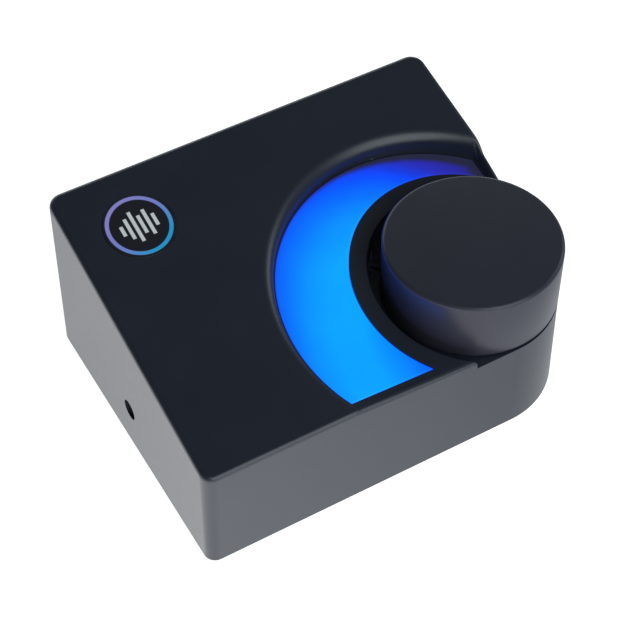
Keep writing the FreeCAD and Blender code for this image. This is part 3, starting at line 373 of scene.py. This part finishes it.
def carve(mesh_data, cutter_data):
    """The first bmesh without the second."""
    base = loose_object("carve_base", mesh_data)
    cutter = loose_object("carve_cutter", cutter_data)
    modifier = base.modifiers.new("carve", "BOOLEAN")
    modifier.object = cutter
    modifier.operation = "DIFFERENCE"
    modifier.solver = "EXACT"
    bpy.context.view_layer.update()
    graph = bpy.context.evaluated_depsgraph_get()
    result = bmesh.new()
    result.from_mesh(base.evaluated_get(graph).to_mesh())
    bpy.data.objects.remove(base)
    bpy.data.objects.remove(cutter)
    return result


def join_flats(mesh_data, angle=0.05):
    """Joins neighbouring faces that lie in one plane."""
    bmesh.ops.dissolve_limit(mesh_data, angle_limit=math.radians(angle), verts=mesh_data.verts,
                             edges=mesh_data.edges, delimit=set())


def soften(mesh_data, edges, width, steps):
    """Rounds the edges by the width in millimetres."""
    bmesh.ops.bevel(mesh_data, geom=edges, offset=width * MM, offset_type="OFFSET", segments=steps,
                    profile=0.5, affect="EDGES", clamp_overlap=True, material=-1)


def sharp_edges(mesh_data, angle):
    """The edges whose two faces meet at more than the angle."""
    return [edge for edge in mesh_data.edges
            if edge.is_manifold and edge.calc_face_angle() > math.radians(angle)]


def over_platform(vert):
    """How far a point of a mesh lies over the platform's plane, in millimetres."""
    return vert.co.z / MM - platform_top(vert.co.x / MM, vert.co.y / MM)


def knob_distance(vert):
    """How far a point of a mesh lies from the knob's axis, in millimetres."""
    return math.hypot(vert.co.x / MM - KNOB_X, vert.co.y / MM - KNOB_Y)


def make_shell(material):
    """The moulded case with its dressed top and a soft rim round the well."""
    shell = carve(merged_copy("upper_shell"), top_cutter())
    join_flats(shell)
    rims = [edge for edge in sharp_edges(shell, 40)
            if all(abs(over_platform(vert) + SKIN_DROP) < 0.1 for vert in edge.verts)
            and all(knob_distance(vert) < WALL_FOOT + 9 for vert in edge.verts)]
    well_rim = [edge for edge in rims
                if all(abs(knob_distance(vert) - WELL_RADIUS) < 0.06 for vert in edge.verts)]
    soften(shell, well_rim, 0.45, 4)
    panel_edges = set()
    piece = finish_mesh("moulded_case", shell, material, "case")
    for face in piece.data.polygons:
        if face.normal.y > PANEL_UPRIGHT:
            for key in face.edge_keys:
                panel_edges.add(key)
    for edge in piece.data.edges:
        if edge.key in panel_edges:
            edge.use_edge_sharp = True
    weigh = piece.modifiers.new("weighted_normals", "WEIGHTED_NORMAL")
    weigh.keep_sharp = True
    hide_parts("upper_shell")
    return piece


def softened(node, name, material, body, width, steps=2, angle=40):
    """A piece like the plain node, with its sharp edges rounded."""
    mesh_data = merged_copy(node)
    join_flats(mesh_data)
    soften(mesh_data, sharp_edges(mesh_data, angle), width, steps)
    piece = finish_mesh(name, mesh_data, material, body)
    weigh = piece.modifiers.new("weighted_normals", "WEIGHTED_NORMAL")
    weigh.keep_sharp = True
    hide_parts(node)
    return piece


def arc_points(middle, radius, start, end, steps):
    """Points of an arc in a half outline, from one angle to the other in degrees."""
    turns = [math.radians(start + (end - start) * number / steps) for number in range(steps + 1)]
    return [(middle[0] + radius * math.cos(turn), middle[1] + radius * math.sin(turn))
            for turn in turns]


def spun(half_outline, centre_x, centre_y, steps):
    """A turned bmesh: its half outline of radius and height pairs, spun round an upright axis."""
    mesh_data = bmesh.new()
    verts = bmesh.ops.create_circle(mesh_data, segments=len(half_outline), radius=1)["verts"]
    for vert, (radius, height) in zip(verts, half_outline):
        vert.co = Vector((centre_x + radius, centre_y, height)) * MM
    bmesh.ops.spin(mesh_data, geom=mesh_data.verts[:] + mesh_data.edges[:],
                   cent=Vector((centre_x, centre_y, 0)) * MM, axis=(0, 0, 1),
                   angle=math.tau, steps=steps, use_merge=True)
    bmesh.ops.remove_doubles(mesh_data, verts=mesh_data.verts, dist=1e-7)
    bmesh.ops.dissolve_degenerate(mesh_data, edges=mesh_data.edges, dist=1e-7)
    return mesh_data


def make_knob(material):
    """The hollow volume knob with its round top edge and its hub."""
    radius = KNOB_RADIUS - 0.02
    top = KNOB_TOP - 0.02
    hollow = KNOB_RADIUS - KNOB_WALL
    ceiling = KNOB_TOP - KNOB_WALL
    outline = [(0.02, top)]
    outline += arc_points((radius - KNOB_ROUND, top - KNOB_ROUND), KNOB_ROUND, 90, 0, 10)
    outline += arc_points((radius - 0.35, KNOB_BOTTOM + 0.37), 0.35, 0, -90, 4)
    outline += arc_points((hollow + 0.3, KNOB_BOTTOM + 0.32), 0.3, -90, -180, 3)
    outline += [(hollow, ceiling - 0.8), (hollow - 0.8, ceiling)]
    outline += [(HUB_RADIUS + 0.6, ceiling), (HUB_RADIUS, ceiling - 0.6)]
    outline += arc_points((HUB_RADIUS - 0.3, HUB_BOTTOM + 0.3), 0.3, 0, -90, 3)
    outline += [(INSERT_RADIUS + 0.02, HUB_BOTTOM), (INSERT_RADIUS + 0.02, INSERT_TOP + 0.02)]
    outline += [(0.02, INSERT_TOP + 0.02)]
    knob = spun(outline, KNOB_X, KNOB_Y, 192)
    piece = finish_mesh("turned_knob", knob, material, "knob")
    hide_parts("volume_knob")


def make_lens(material):
    """The glowing crescent with slightly rounded upper edges."""
    lens = merged_copy("crescent_lens")
    join_flats(lens)
    upper = [edge for edge in sharp_edges(lens, 40)
             if all(abs(over_platform(vert)) < 0.05 for vert in edge.verts)]
    soften(lens, upper, 0.2, 3)
    for vert in lens.verts:
        vert.co.z -= 0.05 * MM * (over_platform(vert) > -1)
    piece = finish_mesh("glowing_crescent", lens, material, "case")
    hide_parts("crescent_lens")


# ---------------------------------------------------------------- materials

def new_material(name):
    """An empty material with its shader and the object's own coordinates."""
    material = bpy.data.materials.new(name)
    material.use_nodes = True
    tree = material.node_tree
    shader = tree.nodes["Principled BSDF"]
    places = tree.nodes.new("ShaderNodeTexCoord").outputs["Object"]
    return material, tree, shader, places


def noise(tree, places, scale, detail=3.0, roughness=0.5):
    """A noise pattern of that scale over the places."""
    node = tree.nodes.new("ShaderNodeTexNoise")
    tree.links.new(places, node.inputs["Vector"])
    node.inputs["Scale"].default_value = scale
    node.inputs["Detail"].default_value = detail
    node.inputs["Roughness"].default_value = roughness
    return node.outputs["Fac"]


def span(tree, source, low, high, from_low=0.0, from_high=1.0, smooth=False):
    """The source stretched to run from low to high."""
    node = tree.nodes.new("ShaderNodeMapRange")
    node.interpolation_type = "SMOOTHSTEP" if smooth else "LINEAR"
    tree.links.new(source, node.inputs["Value"])
    node.inputs["From Min"].default_value = from_low
    node.inputs["From Max"].default_value = from_high
    node.inputs["To Min"].default_value = low
    node.inputs["To Max"].default_value = high
    return node.outputs["Result"]


def ramp(tree, source, stops):
    """A colour ramp with the given stops."""
    node = tree.nodes.new("ShaderNodeValToRGB")
    tree.links.new(source, node.inputs["Fac"])
    elements = node.color_ramp.elements
    while len(elements) < len(stops):
        elements.new(0.5)
    for element, (position, colour) in zip(elements, stops):
        element.position = position
        element.color = (*colour, 1)
    return node.outputs["Color"]


def bump(tree, shader, height, strength, distance):
    """Raises the surface by the height pattern."""
    node = tree.nodes.new("ShaderNodeBump")
    tree.links.new(height, node.inputs["Height"])
    node.inputs["Strength"].default_value = strength
    node.inputs["Distance"].default_value = distance
    tree.links.new(node.outputs["Normal"], shader.inputs["Normal"])


def combine(tree, operation, first, second):
    """The two values, either of them a number or an output, joined by a maths operation."""
    node = tree.nodes.new("ShaderNodeMath")
    node.operation = operation
    for number, value in enumerate((first, second)):
        if isinstance(value, (int, float)):
            node.inputs[number].default_value = value
        else:
            tree.links.new(value, node.inputs[number])
    return node.outputs[0]


def blend(tree, share, first, second):
    """The first colour, or the second where the share is 1."""
    node = tree.nodes.new("ShaderNodeMix")
    node.data_type = "RGBA"
    tree.links.new(share, node.inputs["Factor"])
    for socket, value in ((node.inputs[6], first), (node.inputs[7], second)):
        if isinstance(value, tuple):
            socket.default_value = (*value, 1)
        else:
            tree.links.new(value, socket)
    return node.outputs[2]


def parts_of(tree, places):
    """The X, Y and Z of the places, in metres."""
    node = tree.nodes.new("ShaderNodeSeparateXYZ")
    tree.links.new(places, node.inputs[0])
    return node.outputs["X"], node.outputs["Y"], node.outputs["Z"]


def distance_from(tree, across, along, centre_x, centre_y):
    """How far the places lie in plan from a centre given in millimetres, in millimetres."""
    reach_x = combine(tree, "SUBTRACT", combine(tree, "DIVIDE", across, MM), centre_x)
    reach_y = combine(tree, "SUBTRACT", combine(tree, "DIVIDE", along, MM), centre_y)
    square = combine(tree, "ADD", combine(tree, "MULTIPLY", reach_x, reach_x),
                     combine(tree, "MULTIPLY", reach_y, reach_y))
    return combine(tree, "SQRT", square, 0.0), reach_x, reach_y


def mottled(name, dark, light, rough, grain, depth, metallic=0.0, level=0.5):
    """A moulded or metal surface: its colour, roughness and skin vary with broad and fine grain."""
    material, tree, shader, places = new_material(name)
    fine = noise(tree, places, grain)
    broad = noise(tree, places, grain / 40, detail=2.0)
    tree.links.new(ramp(tree, broad, [(0.3, dark), (0.7, light)]), shader.inputs["Base Color"])
    tree.links.new(span(tree, fine, rough[0], rough[1], 0.3, 0.7), shader.inputs["Roughness"])
    shader.inputs["Metallic"].default_value = metallic
    shader.inputs["Specular IOR Level"].default_value = level
    bump(tree, shader, fine, 0.3, depth)
    return material


def brushed(name, dark, light, rough, direction, metallic=1.0):
    """Metal with fine drawn lines along one direction."""
    material, tree, shader, places = new_material(name)
    mapping = tree.nodes.new("ShaderNodeMapping")
    mapping.inputs["Scale"].default_value = [0.05 if part else 1.0 for part in direction]
    tree.links.new(places, mapping.inputs["Vector"])
    lines = noise(tree, mapping.outputs[0], 5000, detail=2.0)
    tint = noise(tree, places, 180, detail=2.0)
    tree.links.new(ramp(tree, tint, [(0.3, dark), (0.7, light)]), shader.inputs["Base Color"])
    tree.links.new(span(tree, lines, rough[0], rough[1], 0.3, 0.7), shader.inputs["Roughness"])
    shader.inputs["Metallic"].default_value = metallic
    bump(tree, shader, lines, 0.2, 0.00001)
    return material


def circuit_board(name):
    """Green solder mask with slightly raised straight copper tracks and bare pads."""
    material, tree, shader, places = new_material(name)
    tracks = tree.nodes.new("ShaderNodeTexBrick")
    tree.links.new(places, tracks.inputs["Vector"])
    tracks.inputs["Scale"].default_value = 260
    tracks.inputs["Mortar Size"].default_value = 0.09
    tracks.inputs["Mortar Smooth"].default_value = 0.2
    pads = tree.nodes.new("ShaderNodeTexVoronoi")
    tree.links.new(places, pads.inputs["Vector"])
    pads.inputs["Scale"].default_value = 240
    pads.inputs["Randomness"].default_value = 0.35
    dot = span(tree, pads.outputs["Distance"], 1.0, 0.0, 0.16, 0.19)
    tint = noise(tree, places, 60)
    mask = ramp(tree, tint, [(0.3, (0.004, 0.055, 0.022)), (0.7, (0.006, 0.075, 0.03))])
    green = blend(tree, tracks.outputs["Fac"], mask, (0.012, 0.125, 0.05))
    tree.links.new(blend(tree, dot, green, (0.62, 0.55, 0.42)), shader.inputs["Base Color"])
    tree.links.new(span(tree, dot, 0.38, 0.25), shader.inputs["Roughness"])
    tree.links.new(dot, shader.inputs["Metallic"])
    bump(tree, shader, combine(tree, "MAXIMUM", tracks.outputs["Fac"], dot), 0.5, 0.00004)
    return material


def phenolic_board(name):
    """Brown board of pressed paper with fibres."""
    material, tree, shader, places = new_material(name)
    fibres = tree.nodes.new("ShaderNodeTexNoise")
    tree.links.new(places, fibres.inputs["Vector"])
    fibres.inputs["Scale"].default_value = 1500
    fibres.inputs["Distortion"].default_value = 2.5
    colour = ramp(tree, fibres.outputs["Fac"], [(0.3, (0.2, 0.1, 0.04)), (0.7, (0.3, 0.17, 0.075))])
    tree.links.new(colour, shader.inputs["Base Color"])
    tree.links.new(span(tree, fibres.outputs["Fac"], 0.45, 0.65), shader.inputs["Roughness"])
    bump(tree, shader, fibres.outputs["Fac"], 0.3, 0.00003)
    return material


def capacitor_sleeve(name):
    """A dark printed sleeve with a pale stripe down one side and a bare metal top."""
    material, tree, shader, places = new_material(name)
    across, along, up = parts_of(tree, places)
    stripes = tree.nodes.new("ShaderNodeTexWave")
    tree.links.new(places, stripes.inputs["Vector"])
    stripes.inputs["Scale"].default_value = 45
    stripe = span(tree, stripes.outputs["Fac"], 0.0, 1.0, 0.86, 0.9)
    normal = tree.nodes.new("ShaderNodeNewGeometry").outputs["Normal"]
    facing = parts_of(tree, normal)[2]
    lid = span(tree, facing, 0.0, 1.0, 0.7, 0.8)
    sleeve = blend(tree, stripe, (0.02, 0.03, 0.09), (0.45, 0.5, 0.6))
    tree.links.new(blend(tree, lid, sleeve, (0.75, 0.76, 0.78)), shader.inputs["Base Color"])
    tree.links.new(lid, shader.inputs["Metallic"])
    fine = noise(tree, places, 3000)
    tree.links.new(span(tree, fine, 0.28, 0.42, 0.3, 0.7), shader.inputs["Roughness"])
    bump(tree, shader, fine, 0.2, 0.00001)
    return material


def ribbed_cable(name):
    """Flat grey cable whose wires show as fine ribs."""
    material, tree, shader, places = new_material(name)
    ribs = tree.nodes.new("ShaderNodeTexWave")
    ribs.bands_direction = "X"
    tree.links.new(places, ribs.inputs["Vector"])
    ribs.inputs["Scale"].default_value = 320
    ribs.inputs["Distortion"].default_value = 0.3
    tree.links.new(ramp(tree, ribs.outputs["Fac"], [(0.2, (0.16, 0.165, 0.17)), (0.7, (0.3, 0.31, 0.32))]),
                   shader.inputs["Base Color"])
    tree.links.new(span(tree, noise(tree, places, 2500), 0.45, 0.6, 0.3, 0.7),
                   shader.inputs["Roughness"])
    bump(tree, shader, ribs.outputs["Fac"], 0.6, 0.0001)
    return material


def lit_lens(name):
    """Clear plastic lit from below: blue, lighter along the middle, violet and dark to the back, with
    painted highlights on its inner and front edges and painted light on its unlit margin.
    """
    material, tree, shader, places = new_material(name)
    across, along, _ = parts_of(tree, places)
    from_knob, _, _ = distance_from(tree, across, along, KNOB_X, KNOB_Y)
    _, hot_x, hot_y = distance_from(tree, across, along, HOT_X, HOT_Y)
    hot_y = combine(tree, "MULTIPLY", hot_y, HOT_SHARE)
    square = combine(tree, "ADD", combine(tree, "MULTIPLY", hot_x, hot_x),
                     combine(tree, "MULTIPLY", hot_y, hot_y))
    from_hot = combine(tree, "SQRT", square, 0.0)
    colour = ramp(tree, span(tree, from_hot, 0.0, 1.0, 0.0, GLOW_REACH),
                  [(far / GLOW_REACH, glow_tone(*shade)) for far, shade in GLOW_SHADES])
    from_glow, _, _ = distance_from(tree, across, along, GLOW_X, GLOW_Y)
    past_glow = span(tree, from_glow, 0.0, 1.0, GLOW_RADIUS - GLOW_FADE, GLOW_RADIUS + GLOW_FADE,
                     smooth=True)
    past_right = span(tree, across, 0.0, 1.0, (LENS_RIGHT - 5.5) * MM, (LENS_RIGHT - 1.5) * MM, smooth=True)
    past_glow = combine(tree, "MAXIMUM", past_glow, past_right)
    # The glow is made 18% stronger along the inner rim and the front cut: a painted highlight on the lens's
    # edges.
    rim_highlight = span(tree, from_knob, 1.0, 0.0, LENS_INNER_RADIUS, LENS_INNER_RADIUS + 0.7)
    front_cut_highlight = span(tree, along, 1.0, 0.0, LENS_FRONT * MM, (LENS_FRONT + 0.7) * MM)
    brighter = combine(tree, "MAXIMUM", rim_highlight, front_cut_highlight)
    cloud = noise(tree, places, 110, detail=1.0)
    # Past the glow circle and near the right end the lens emits the margin's tone: painted light standing
    # in for room light on its unlit plastic.
    lit = blend(tree, past_glow, colour, glow_tone(*MARGIN_PAINTED_TONE))
    tree.links.new(lit, shader.inputs["Emission Color"])
    strength = combine(tree, "ADD", span(tree, cloud, 0.97, 1.03, 0.3, 0.7),
                       combine(tree, "MULTIPLY", brighter, 0.18))
    tree.links.new(combine(tree, "MULTIPLY", strength, GLOW_POWER), shader.inputs["Emission Strength"])
    tint = ramp(tree, cloud, [(0.3, (0.004, 0.01, 0.03)), (0.7, (0.006, 0.014, 0.04))])
    tree.links.new(tint, shader.inputs["Base Color"])
    grain = noise(tree, places, 2200)
    tree.links.new(span(tree, grain, 0.26, 0.34, 0.3, 0.7), shader.inputs["Roughness"])
    shader.inputs["Specular IOR Level"].default_value = 0.25
    bump(tree, shader, grain, 0.15, 0.00001)
    return material


def badge_print(name):
    """A dark satin disc printed with a ring, from cyan to violet, and a row of level bars."""
    material, tree, shader, places = new_material(name)
    across, along, _ = parts_of(tree, places)
    away, reach_x, reach_y = distance_from(tree, across, along, BADGE_X, BADGE_Y)
    u = combine(tree, "DIVIDE", reach_x, BADGE_RADIUS)
    v = combine(tree, "DIVIDE", reach_y, BADGE_RADIUS / math.hypot(1, SLOPE))
    share = combine(tree, "DIVIDE", away, BADGE_RADIUS)
    off_ring = combine(tree, "ABSOLUTE", combine(tree, "SUBTRACT", share, BADGE_RING), 0.0)
    print_mask = span(tree, off_ring, 1.0, 0.0, BADGE_RING_WIDTH - 0.01, BADGE_RING_WIDTH + 0.01)
    across_ring = combine(tree, "SUBTRACT", combine(tree, "MULTIPLY", u, 0.6), v)
    ring_colour = ramp(tree, span(tree, across_ring, 0.0, 1.0, -0.9, 0.9), BADGE_COLOURS)
    bars = None
    for number, height in enumerate(BADGE_BARS):
        middle = BADGE_BAR_STEP * (number - (len(BADGE_BARS) - 1) / 2)
        off = combine(tree, "ABSOLUTE", combine(tree, "SUBTRACT", u, middle), 0.0)
        side = span(tree, off, 1.0, 0.0, BADGE_BAR_HALF - 0.008, BADGE_BAR_HALF + 0.008)
        rise = combine(tree, "ABSOLUTE", v, 0.0)
        end = span(tree, rise, 1.0, 0.0, height - 0.008, height + 0.008)
        bar = combine(tree, "MULTIPLY", side, end)
        bars = bar if bars is None else combine(tree, "MAXIMUM", bars, bar)
    fine = noise(tree, places, 2600)
    ground = ramp(tree, fine, [(0.3, (0.011, 0.012, 0.018)), (0.7, (0.013, 0.0145, 0.021))])
    with_ring = blend(tree, print_mask, ground, ring_colour)
    tree.links.new(blend(tree, bars, with_ring, (0.9, 0.92, 0.95)), shader.inputs["Base Color"])
    tree.links.new(span(tree, fine, 0.36, 0.44, 0.3, 0.7), shader.inputs["Roughness"])
    shader.inputs["Specular IOR Level"].default_value = 0.4
    bump(tree, shader, combine(tree, "MAXIMUM", print_mask, bars), 0.3, 0.00002)
    return material


def glow_tone(red, green, blue):
    """The glow's colour for a shade written from 0 to 255; a blue above 255 is brighter than white."""
    return tuple((part / 255 / 12.92 if part < 11 else ((part / 255 + 0.055) / 1.055) ** 2.4) / GLOW_POWER
                 for part in (red, green, blue))


# The lens's glow: its shades by how far a place lies from the hot spot, measured with less weight
# along Y, and the circle just inside the lens where the glow fades out.
HOT_X = KNOB_X - 20
HOT_Y = KNOB_Y - 18
HOT_SHARE = 0.7
GLOW_REACH = 54.0
GLOW_POWER = 2.2
GLOW_SHADES = [
    (6, (0, 92, 300)),
    (12, (0, 136, 340)),
    (19, (0, 162, 355)),
    (27, (0, 163, 355)),
    (32, (0, 146, 345)),
    (37, (0, 113, 320)),
    (41, (2, 79, 275)),
    (43.5, (20, 58, 226)),
    (46, (38, 42, 184)),
    (50, (40, 34, 150)),
    (54, (30, 28, 90)),
]
GLOW_X = 23.6
GLOW_Y = -23.9
GLOW_RADIUS = 44.5
GLOW_FADE = 1.1
# The emitted tone of the lens's unlit margin, painted light standing in for room light on the plastic.
MARGIN_PAINTED_TONE = (35, 34, 54)

# The badge's print, in shares of its radius.
BADGE_RING = 0.86
BADGE_RING_WIDTH = 0.055
BADGE_COLOURS = [(0.0, (0.42, 0.38, 0.95)), (0.5, (0.3, 0.36, 1.0)), (1.0, (0.03, 0.5, 1.0))]
BADGE_BARS = [0.16, 0.34, 0.5, 0.3, 0.42, 0.2]
BADGE_BAR_STEP = 0.19
BADGE_BAR_HALF = 0.05

CASE_PLASTIC = mottled("satin_case_plastic", (0.0150, 0.0195, 0.0315), (0.0175, 0.0225, 0.0360),
                       (0.32, 0.38), 2600, 0.00002)
KNOB_PLASTIC = mottled("satin_knob_plastic", (0.033, 0.0335, 0.049), (0.036, 0.0365, 0.053),
                       (0.31, 0.34), 2600, 0.000002, level=0.3)
LENS = lit_lens("lit_lens")
BADGE = badge_print("badge_print")
BASE_PLASTIC = mottled("textured_base_plastic", (0.012, 0.012, 0.014), (0.018, 0.018, 0.02),
                       (0.5, 0.65), 1400, 0.00006)
RUBBER = mottled("foot_rubber", (0.008, 0.008, 0.009), (0.014, 0.014, 0.014), (0.7, 0.85), 1800, 0.00005)
SOCKET_PLASTIC = mottled("socket_plastic", (0.008, 0.008, 0.009), (0.013, 0.013, 0.014),
                         (0.3, 0.42), 2400, 0.00001)
WHITE_PLASTIC = mottled("white_plastic", (0.68, 0.68, 0.66), (0.78, 0.78, 0.76), (0.4, 0.5), 2000, 0.00002)
LIGHT_PACKAGE = mottled("light_package", (0.7, 0.66, 0.35), (0.82, 0.8, 0.62), (0.2, 0.35), 2500, 0.00001)
STEEL = brushed("drawn_steel", (0.50, 0.51, 0.52), (0.62, 0.63, 0.64), (0.26, 0.4), (0, 1, 0))
NICKEL = brushed("nickel", (0.62, 0.6, 0.56), (0.72, 0.7, 0.66), (0.16, 0.28), (0, 1, 0))
BRASS = brushed("brass", (0.72, 0.5, 0.2), (0.82, 0.6, 0.28), (0.2, 0.34), (0, 0, 1))
SLOT_MATERIALS = {
    "case_plastic": CASE_PLASTIC,
    "knob_plastic": KNOB_PLASTIC,
    "base_plastic": BASE_PLASTIC,
    "foot_rubber": RUBBER,
    "socket_plastic": SOCKET_PLASTIC,
    "white_plastic": WHITE_PLASTIC,
    "light_package": LIGHT_PACKAGE,
    "steel": STEEL,
    "nickel": NICKEL,
    "brass": BRASS,
    "circuit_board": circuit_board("circuit_board"),
    "wafer_board": phenolic_board("phenolic_board"),
    "capacitor_can": capacitor_sleeve("capacitor_sleeve"),
    "cable_grey": ribbed_cable("ribbed_cable"),
    "lens": LENS,
    "badge": BADGE,
}


def dress_nodes():
    """Gives every carried-over piece the material of its slot."""
    for row in frame["record"]["subparts"]:
        piece = frame["nodes"][row["node"]]
        piece.data.materials.clear()
        piece.data.materials.append(SLOT_MATERIALS[row["material_slot"]])


# ---------------------------------------------------------------- the room

def make_camera():
    """The camera that looks down on the case from the front left."""
    turn = (Matrix.Rotation(math.radians(CAMERA_AZIMUTH), 4, "Z")
            @ Matrix.Rotation(math.radians(90 - CAMERA_ELEVATION), 4, "X")
            @ Matrix.Rotation(math.radians(CAMERA_ROLL), 4, "Z"))
    corner = Vector((-CASE_WIDTH / 2, -CASE_DEPTH / 2, LIFT))
    place = (turn @ Vector(CAMERA_PLACE)) + corner
    camera = bpy.data.objects.new("camera", bpy.data.cameras.new("camera"))
    camera.matrix_world = Matrix.Translation(place * MM) @ turn
    camera.data.sensor_width = 36
    camera.data.lens = CAMERA_LENS
    camera.data.clip_start = 0.01
    bpy.context.scene.collection.objects.link(camera)
    bpy.context.scene.camera = camera


def by_ray(tree, seen, unseen):
    """A strength that is one amount for what the camera sees, and another for all other light."""
    path = tree.nodes.new("ShaderNodeLightPath")
    return span(tree, path.outputs["Is Camera Ray"], unseen, seen)


def make_floor():
    """A plain white floor far beyond what the camera sees, as bright as a light table."""
    plate = bmesh.new()
    bmesh.ops.create_grid(plate, x_segments=1, y_segments=1, size=3.0)
    mesh = bpy.data.meshes.new("floor")
    plate.to_mesh(mesh)
    plate.free()
    floor = bpy.data.objects.new("floor", mesh)
    bpy.context.scene.collection.objects.link(floor)
    material, tree, shader, places = new_material("white_floor")
    shader.inputs["Base Color"].default_value = (0.45, 0.48, 0.52, 1)
    shader.inputs["Roughness"].default_value = 0.9
    shader.inputs["Specular IOR Level"].default_value = 0.0
    shader.inputs["Emission Color"].default_value = (1, 1, 1, 1)
    across, along, _ = parts_of(tree, places)
    nearness = combine(tree, "ADD", combine(tree, "MULTIPLY", across, FLOOR_SLANT[0]),
                       combine(tree, "MULTIPLY", along, FLOOR_SLANT[1]))
    glow = span(tree, nearness, *FLOOR_GLOW)
    path = tree.nodes.new("ShaderNodeLightPath").outputs["Is Camera Ray"]
    seen = combine(tree, "MULTIPLY", path, FLOOR_SEEN)
    unseen = combine(tree, "MULTIPLY", combine(tree, "SUBTRACT", 1.0, path), glow)
    tree.links.new(combine(tree, "ADD", seen, unseen), shader.inputs["Emission Strength"])
    mesh.materials.append(material)


def make_lamp(name, place, target, size, power, colour=(1, 1, 1)):
    """A soft rectangular lamp that faces the target."""
    lamp = bpy.data.objects.new(name, bpy.data.lights.new(name, "AREA"))
    lamp.data.shape = "RECTANGLE"
    lamp.data.size, lamp.data.size_y = size
    lamp.data.energy = power
    lamp.data.color = colour
    lamp.location = place
    lamp.rotation_euler = (Vector(target) - Vector(place)).to_track_quat("-Z", "Y").to_euler()
    bpy.context.scene.collection.objects.link(lamp)


def make_room():
    """Floor, world and lamps: a dark room over a bright floor, with soft boxes."""
    make_floor()
    world = bpy.data.worlds.new("room")
    bpy.context.scene.world = world
    world.use_nodes = True
    background = world.node_tree.nodes["Background"]
    background.inputs["Color"].default_value = (0.92, 0.96, 1, 1)
    world.node_tree.links.new(by_ray(world.node_tree, 1.0, WORLD_GLOW), background.inputs["Strength"])
    for lamp in LAMPS:
        make_lamp(*lamp)


FLOOR_SEEN = 0.95
FLOOR_GLOW = (0.38, 1.8, -0.08, 0.12)
FLOOR_SLANT = (-0.906, -0.423)
WORLD_GLOW = 0.09
MIDDLE = (0, 0, 0.03)
LAMP_COLOUR = (0.9, 0.98, 1.0)
LAMPS = [
    ("front_lamp", (0.1, -0.85, 0.55), MIDDLE, (0.8, 0.9), 7.0, LAMP_COLOUR),
    ("right_lamp", (0.85, 0.0, 0.5), MIDDLE, (0.4, 0.4), 1.2, LAMP_COLOUR),
    ("back_lamp", (0.3, 1.2, 0.45), MIDDLE, (1.6, 0.5), 6.0, LAMP_COLOUR),
]


dress_nodes()
make_shell(CASE_PLASTIC)
make_knob(KNOB_PLASTIC)
make_lens(LENS)
softened("badge_disc", "printed_badge", BADGE, "case", 0.15, 3)
softened("base_plate", "moulded_base", BASE_PLASTIC, "case", 0.25)
softened("pairing_button", "moulded_button", CASE_PLASTIC, "button", 0.3, 3)
for foot in ("foot_front_left", "foot_front_right", "foot_rear_left", "foot_rear_right"):
    softened(foot, "rubber_" + foot, RUBBER, "case", 0.15)
for side in ("left", "right"):
    socket = side + "_output_socket"
    softened(socket, "moulded_" + socket, SOCKET_PLASTIC, "case", 0.12)
    softened(socket + "_nut", "turned_" + socket + "_nut", NICKEL, "case", 0.2, 3, 20)
    softened(socket + "_washer", "turned_" + socket + "_washer", NICKEL, "case", 0.1)
softened("input_socket", "moulded_input_socket", SOCKET_PLASTIC, "case", 0.15)
softened("power_socket", "pressed_power_socket", STEEL, "case", 0.08)
softened("power_socket_tongue", "moulded_tongue", SOCKET_PLASTIC, "case", 0.05)
softened("case_screws", "cut_case_screws", STEEL, "case", 0.08)
make_camera()
make_room()

bpy.context.scene.view_settings.view_transform = "Standard"
